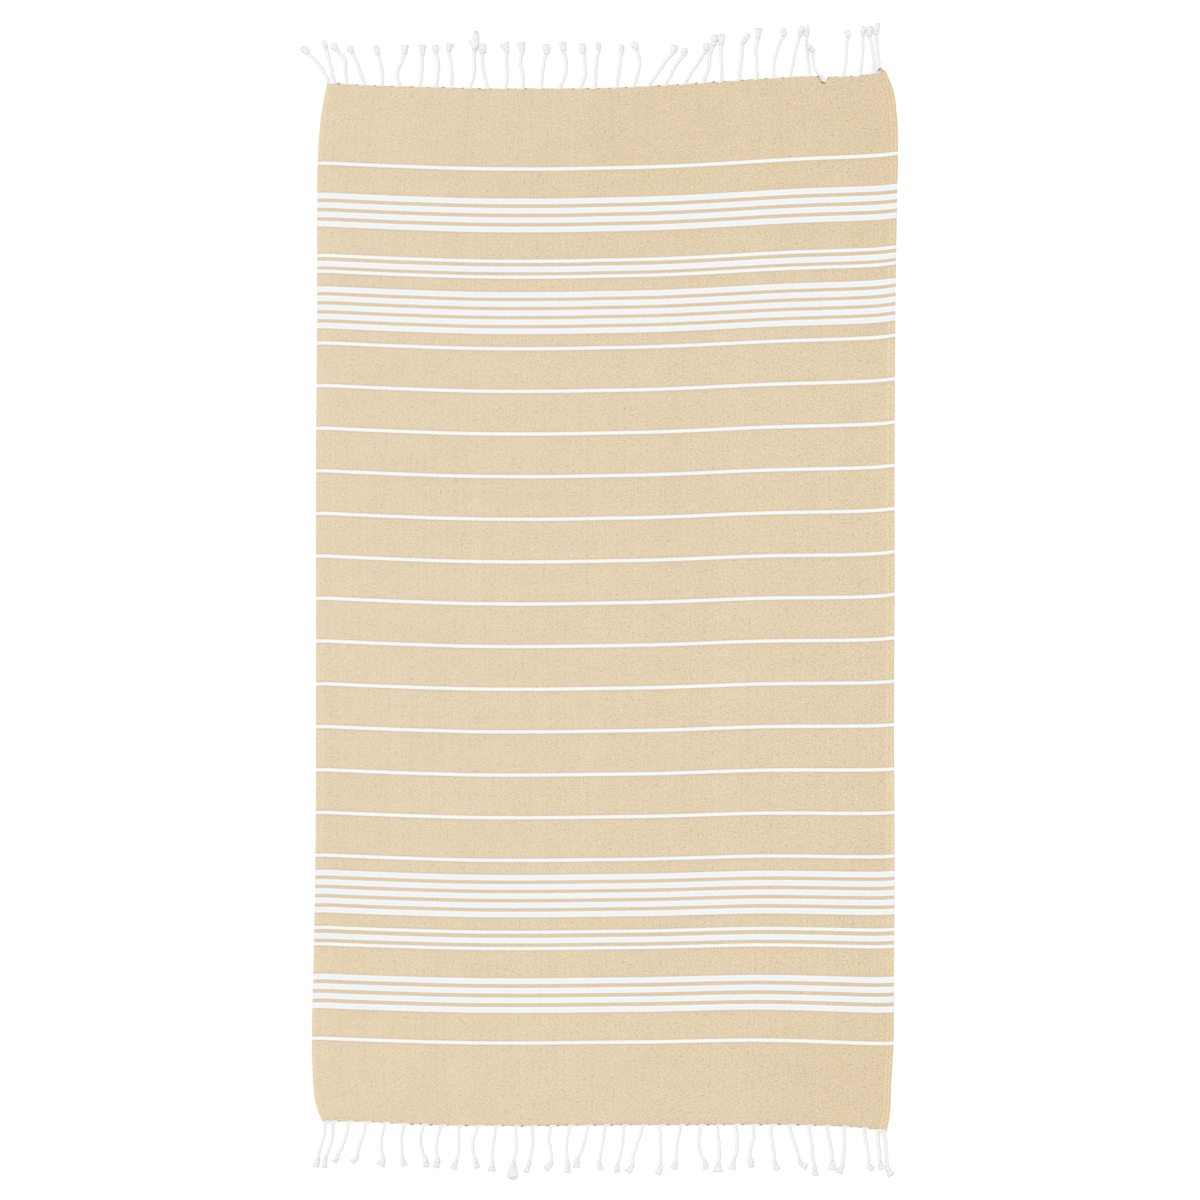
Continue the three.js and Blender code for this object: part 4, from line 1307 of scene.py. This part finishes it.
# Points of tufts: the middle line + sideways times half width times cos + up times half height
# times sin. Given are which tuft, the share along it, the angle and the share of the radius.
def onTuft(tuftsAt, which, share, angle, outness):
    bounded = np.clip(share, 0, 1)
    weights = curveWeights(bounded.ravel(), tuftOutlines["shares"]).reshape(*bounded.shape, -1)
    outline = (weights * tuftsAt["outline"][which][:, None]).sum(-1)
    halfWidth = outline * tuftsAt["half"][which][:, None]
    halfHeight = tuftForm["flatness"] * halfWidth + tuftForm["leastHigh"]
    halfHeight = np.minimum(halfHeight, tuftForm["highest"])
    begin, finish = tuftsAt["begin"][which], tuftsAt["finish"][which]
    way = finish - begin
    beside = unitLength(np.stack([way[:, 1], -way[:, 0]], 1))
    middle = begin[:, None] + way[:, None] * share[..., None]
    down = easeIn(bounded / tuftForm["downBy"])
    lowest = halfHeight + tuftForm["clear"]
    rise = np.maximum(tuftsAt["startHeight"][which][:, None] * (1 - down) + lowest * down, lowest)
    rise = rise + tuftsAt["lift"][which][:, None] * easeIn(bounded / tuftForm["liftedBy"])
    xy = middle + (halfWidth * np.cos(angle) * outness)[..., None] * beside[:, None]
    return np.concatenate([xy, (rise + halfHeight * np.sin(angle) * outness)[..., None]], -1)


# A tuft's body: radius share = 1 + depth times (cos(flutes times angle + turn) - 1), with a turn
# that grows a little along it, and the last rings drawn in
def buildTuftBodies(fringe, tuftsAt, draws):
    count, sides, steps = len(tuftsAt["half"]), tuftForm["sides"], tuftForm["steps"]
    bodyEnd, closing = tuftForm["bodyEnd"], tuftForm["closing"]
    plain = np.linspace(0, bodyEnd - tuftForm["closingFrom"], steps - len(closing))
    share = np.concatenate([plain, bodyEnd - closing[:, 0]])
    shrink = np.concatenate([np.ones(len(plain)), closing[:, 1]])
    phase = draws.random((count, 1, 1)) * 2 * np.pi
    angle = 2 * np.pi * np.arange(sides) / sides
    turn = phase + tuftForm["fluteTurn"] * share[None, :, None]
    flute = np.cos(tuftForm["flutes"] * angle + turn)
    outness = (1 + tuftForm["fluteDepth"] * (flute - 1)) * shrink[None, :, None]
    which = np.repeat(np.arange(count), steps)
    ringShare = np.tile(share, count)[:, None] + 0 * angle
    ringAngle = angle[None] + np.zeros((len(which), 1))
    rings = onTuft(tuftsAt, which, ringShare, ringAngle, outness.reshape(-1, sides))
    middles = onTuft(tuftsAt, which, ringShare[:, :1], ringAngle[:, :1], np.zeros((len(which), 1)))
    rings = rings.reshape(count, steps, sides, 3)
    bodies = tubes(middles.reshape(count, steps, 3), rings, 2 * np.pi)
    # painted shade: the body greyer all over, more in its flutes and at its end between the cut yarns
    fluteShade = tuftForm["bodyShade"] + tuftForm["fluteShade"] * (1 - flute)
    fluteShade[:, -len(closing):] += tuftForm["cutShade"]
    tipShade = np.full(2 * count, tuftForm["bodyShade"] + tuftForm["cutShade"])
    bodyShade = np.concatenate([fluteShade.ravel(), tipShade])
    return fringePiece(fringe + "TuftBodies", fringe, bodies, bodyShade)


# A tuft's yarns: outer ones run over its top from near the knot to its end, inner ones start half
# way, and a spur's few yarns stand off to one side
def buildTuftYarns(fringe, spec, tuftsAt, draws):
    count = len(tuftsAt["half"])
    perTuft = np.where(tuftsAt["long"], tuftForm["longYarns"], tuftForm["yarns"])
    which = np.repeat(np.arange(count), perTuft)
    total = len(which)
    step = np.linspace(0, 1, tuftForm["yarnSteps"])[None]
    isRound = tuftsAt["round"][which]
    inner = draws.random(total) < tuftForm["innerShare"]
    innerStarts, outerStarts, roundEnds, cutEnds = (
        draws.uniform(*tuftForm[name], total)
        for name in ("innerStarts", "outerStarts", "roundEnds", "cutEnds")
    )
    first = np.where(inner, innerStarts, outerStarts)
    last = np.where(isRound, roundEnds, cutEnds)
    share = first[:, None] + (last - first)[:, None] * step
    sway = tuftForm["sway"] * np.sin(2.5 * step + 6.3 * draws.random((total, 1)))
    fromTop = draws.uniform(-1, 1, (total, 1))
    overTop = 0.5 + fromTop * np.abs(fromTop) ** tuftForm["overTop"]
    allRound = draws.uniform(0, 2, (total, 1))
    angle = np.where(inner[:, None], allRound, overTop) * np.pi + sway
    within = tuftForm["innerWithin"] * np.sqrt(draws.random(total))
    outness = np.where(inner, within, draws.uniform(*tuftForm["outerAt"], total))[:, None]
    yarns = onTuft(tuftsAt, which, share, angle, outness + 0 * share)
    turns = draws.uniform(*tuftForm["wanderTurns"], (total, 1)) * step
    turns = turns + 6.3 * draws.random((total, 1))
    yarns[..., 0] += tuftForm["wander"] * np.sin(turns) * step
    for which, side, at, far in spec["spurs"]:
        few = tuftForm["spurYarns"]
        place = at + tuftForm["spurSpread"] * draws.uniform(-1, 1, (few, 1))
        share = place + tuftForm["spurLength"] * (step - tuftForm["spurBefore"])
        spur = onTuft(tuftsAt, np.full(few, which), share, 0.5 * np.pi + 0 * share, 0.1 + 0 * share)
        spur[..., 0] += side * (far + draws.uniform(-1.5, 0.5, (few, 1))) * step
        spur[..., 2] *= 1 - 0.5 * step
        yarns = np.concatenate([yarns, spur])
    yarns[..., 2] = np.maximum(yarns[..., 2], tuftForm["yarnRadius"] + cord["clear"])
    taper = tuftForm["yarnRadius"] * (1 - tuftForm["yarnTaper"] * step[..., None])
    taper = taper * np.ones((len(yarns), 1, 1))
    made = roundTubes(yarns, taper, tuftForm["yarnSides"])
    # painted shade, a different amount on each yarn
    shade = draws.uniform(*tuftForm["yarnShades"], len(yarns))
    alongShade = np.repeat(shade, tuftForm["yarnSteps"] * tuftForm["yarnSides"])
    return fringePiece(fringe + "TuftYarns", fringe, made, np.concatenate([alongShade, shade, shade]))


gather = {
    "threads": 22,
    "radius": 0.58,
    "sides": 5,
    "steps": 9,
    "reach": 11.0,
    "shortReach": 3.0,
    "spotJitter": 0.3,
    "moundMiddle": 4.5,
    "moundHalf": 7.2,
    "lane": 1.5,  # half width of the threads where they meet in the cord
    "inset": 1.9,
    "outset": 1.2,
    "merge": 6.5,
    "height": 1.75,
    "sinks": 0.5,
    "pile": (0.3, 1.3),
    # painted shade of the warp ends' mounds, and how much it differs from thread to thread
    "shade": 0.07,
    "shadeSpread": 0.08,
}


# Warp ends: threads that come over the last weft beside a root, arch along the edge as a low mound
# and turn into the cord. Out from the edge = inset to outset to merge, each step eased in.
def buildWarpEnds(fringe, spec, draws):
    at, low = spec["cords"][:, 0], spec["cords"][:, 1]
    outward, lopsided, threads = spec["outward"], spec["gatherSide"], gather["threads"]
    owner = np.repeat(np.arange(len(at)), threads)
    count = len(owner)
    spot = np.tile(np.linspace(-gather["shortReach"], gather["reach"], threads), len(at))
    spot += draws.uniform(-gather["spotJitter"], gather["spotJitter"], count)
    mound = np.sqrt(np.clip(1 - ((spot - gather["moundMiddle"]) / gather["moundHalf"]) ** 2, 0, 1))
    ends = laidRow(np.array([spec["along"]]))[0]
    x0 = np.clip(at[owner] + lopsided * spot, ends[0] + 1, ends[1] - 1)
    along = np.full(count, spec["along"])
    edge0 = layOnGround(acrossAt(x0, spec["along"]), along)
    edgeRoot = layOnGround(acrossAt(at, spec["along"]), along[: len(at)])[owner]
    share = np.linspace(0, 1, gather["steps"])[None]
    run = easeIn((share - 0.1) / 0.7)
    lane = draws.uniform(-1, 1, (count, 1))
    rootX = at[owner, None] + 0.1 * low[owner, None] + gather["lane"] * lane
    x = x0[:, None] + (rootX - x0[:, None]) * run
    outset = gather["outset"] * mound * (0.35 + 0.65 * draws.random(count))
    over = easeIn(share / 0.4)
    out = -gather["inset"] * mound[:, None] * (1 - over) + outset[:, None] * over
    merged = easeIn((share - 0.5) / 0.5)
    out = out + (gather["merge"] - outset)[:, None] * merged
    y = edge0[:, 1:2] + (edgeRoot[:, 1] - edge0[:, 1])[:, None] * run + outward * out
    lift = edge0[:, 2:] + (edgeRoot[:, 2] - edge0[:, 2])[:, None] * run
    pile = (mound * draws.uniform(*gather["pile"], count))[:, None]
    z = lift + gather["height"] + pile * np.sin(np.pi * share) - gather["sinks"] * merged
    radii = np.full((count, gather["steps"], 1), gather["radius"])
    made = roundTubes(np.stack([x, y, z], 2), radii, gather["sides"])
    # painted shade, a little different on each thread
    shade = gather["shade"] + gather["shadeSpread"] * draws.random(count)
    alongShade = np.repeat(shade, gather["steps"] * gather["sides"])
    return fringePiece(fringe + "WarpEnds", fringe, made, np.concatenate([alongShade, shade, shade]))


weftLoop = {
    "beyond": 12.8,
    "beyondJitter": 2.2,
    "beyondSizes": (0.5, 1.25),
    "before": -4.8,
    "beforeShare": 0.4,
    "beforeSizes": (0.4, 0.9),
    "fromEnds": 2.0,
    "halfWidth": 1.7,
    "out": 1.15,
    "inset": 0.9,
    "height": 1.2,
    "arch": 0.9,
    "turn": (-0.22, 1.22),  # half turns
    "yarns": 3,
    "yarnSpread": 1.0,
    "outJitter": (-0.5, 0.2),
    "sizeJitter": (0.75, 1.2),
    "radius": 0.30,
    "sides": 5,
    "steps": 10,
}


# Weft loops: beside each gathered mound a few yarns of the last wefts are drawn out in small half
# rings, half width times cos across and the way out times sin, over the cloth's edge. Their dark
# brown, far darker than the sand weft, is painted shade of the hollows there.
def buildWeftLoops(fringe, spec, draws):
    at, outward, side = spec["cords"][:, 0], spec["outward"], spec["gatherSide"]
    level = 0 * at
    sizes = spec["loopSize"] * draws.uniform(*weftLoop["beyondSizes"], len(at))
    far = np.stack([at + side * weftLoop["beyond"], level, sizes, level], 1)
    sizes = draws.uniform(*weftLoop["beforeSizes"], len(at))
    near = np.stack([at + side * weftLoop["before"], level, sizes, level], 1)
    far[:, 0] += weftLoop["beyondJitter"] * draws.uniform(-1, 1, len(at))
    far = far[draws.random(len(at)) < spec["loopShare"]]
    near = near[draws.random(len(at)) < weftLoop["beforeShare"]]
    spots = np.concatenate([far, near])
    if spec["loops"]:
        spots = np.concatenate([spots, np.array(spec["loops"], float)])
    ends = laidRow(np.array([spec["along"]]))[0]
    margin = weftLoop["fromEnds"]
    spots = spots[(spots[:, 0] > ends[0] + margin) & (spots[:, 0] < ends[1] - margin)]
    x, out, size, lift = np.repeat(spots, weftLoop["yarns"], axis=0).T
    x = x + weftLoop["yarnSpread"] * draws.uniform(-1, 1, len(x))
    out = out + draws.uniform(*weftLoop["outJitter"], len(x))
    size = size * draws.uniform(*weftLoop["sizeJitter"], len(x))
    edge = layOnGround(acrossAt(x, spec["along"]), np.full(len(x), spec["along"]))
    turn = np.linspace(*weftLoop["turn"], weftLoop["steps"])[None] * np.pi
    reach = (out - weftLoop["inset"])[:, None] + weftLoop["out"] * size[:, None] * np.sin(turn)
    paths = np.stack([
        x[:, None] + weftLoop["halfWidth"] * size[:, None] * np.cos(turn),
        edge[:, 1:2] + outward * reach,
        edge[:, 2:] + lift[:, None] + weftLoop["height"] + weftLoop["arch"] * np.sin(turn),
    ], 2)
    radii = weftLoop["radius"] * np.sqrt(size)[:, None, None] * np.ones((1, weftLoop["steps"], 1))
    made = roundTubes(paths, radii, weftLoop["sides"])
    return fringePiece(
        fringe + "WeftLoops", fringe, made, np.zeros(len(made["points"])),
        material=shadowedBrownWeft, node="cloth",
    )


fringePieces = []
for fringe, spec in fringes.items():
    draws = np.random.default_rng(spec["seed"])
    lines = cordPaths(spec, draws)
    tuftsAt = tuftFrames(spec, lines)
    fringePieces += [
        buildCords(fringe, lines, draws),
        buildTuftBodies(fringe, tuftsAt, draws),
        buildTuftYarns(fringe, spec, tuftsAt, draws),
        buildWarpEnds(fringe, spec, draws),
        buildWeftLoops(fringe, spec, draws),
    ]
    print(fringe, "fringe made:", len(spec["cords"]), "cords")


studio = {
    "groundHalf": 9.0,
    "ground": (0.80, 0.80, 0.80),
    "groundShade": (0.78, 0.78, 0.78),
    "cameraLift": 0.24,  # seen by the camera alone, so that the lit ground reads as white
    "skyStrength": 0.58,
    "sunStrength": 1.32,
    "sunAngle": 34.0,
    "sunTilt": (-7.0, -8.0),  # degrees about x and y
    "cameraHeight": 11.0,
    "seenWidth": 2.076,
    "seenMiddle": (0.0008, 0.0010),
}


# 1 for what the camera, a reflection or a clear body sees, 0 for light that falls on the object
def seenDirectly(tree):
    rays = addNode(tree, "ShaderNodeLightPath").outputs
    mirrored = calc(tree, "MAXIMUM", rays["Is Glossy Ray"], rays["Is Transmission Ray"])
    return calc(tree, "MAXIMUM", rays["Is Camera Ray"], mirrored)


def makeGround():
    half = studio["groundHalf"]
    mesh = bpy.data.meshes.new("ground")
    low = -0.1 * mm
    corners = [(-half, -half, low), (half, -half, low), (half, half, low), (-half, half, low)]
    mesh.from_pydata(corners, [], [[0, 1, 2, 3]])
    ground = putInScene("ground", mesh)
    material, tree, surface = newMaterial("paleGround")
    place = addNode(tree, "ShaderNodeTexCoord").outputs["Object"]
    grain = calc(tree, "ADD", unevenness(tree, place, (0.6, 0.6, 0.6), 0.01), 0.005, clamp=True)
    base = blendColours(tree, grain, studio["ground"], studio["groundShade"])
    glow = times(tree, seenDirectly(tree), studio["cameraLift"])
    fill(tree, surface, {"Base Color": base, "Emission Color": (1, 1, 1, 1), "Emission Strength": glow})
    fill(tree, surface, {"Roughness": 0.9, "Specular IOR Level": 0.0, "Sheen Weight": 0.0})
    mesh.materials.append(material)


def makeLight():
    world = bpy.data.worlds.new("studioSky")
    world.use_nodes = True
    tree = world.node_tree
    strength = remap(tree, seenDirectly(tree), 0.0, 1.0, studio["skyStrength"], 1.0, smooth=False)
    fill(tree, tree.nodes["Background"], {"Color": (1, 1, 1, 1), "Strength": strength})
    bpy.context.scene.world = world
    light = bpy.data.lights.new("softbox", "SUN")
    light.energy = studio["sunStrength"]
    light.angle = math.radians(studio["sunAngle"])
    lamp = putInScene("softbox", light)
    lamp.rotation_euler = [math.radians(a) for a in (*studio["sunTilt"], 0)]
    lamp.location = (0, 0, 3)


def makeCamera():
    view = bpy.data.cameras.new("straightAbove")
    view.sensor_width = 36
    view.lens = view.sensor_width * studio["cameraHeight"] / studio["seenWidth"]
    view.clip_end = 100
    camera = putInScene("straightAbove", view)
    camera.location = (*studio["seenMiddle"], studio["cameraHeight"])
    bpy.context.scene.camera = camera


makeGround()
makeLight()
makeCamera()
bpy.context.scene.view_settings.view_transform = "Standard"
print("ground, light and camera made")
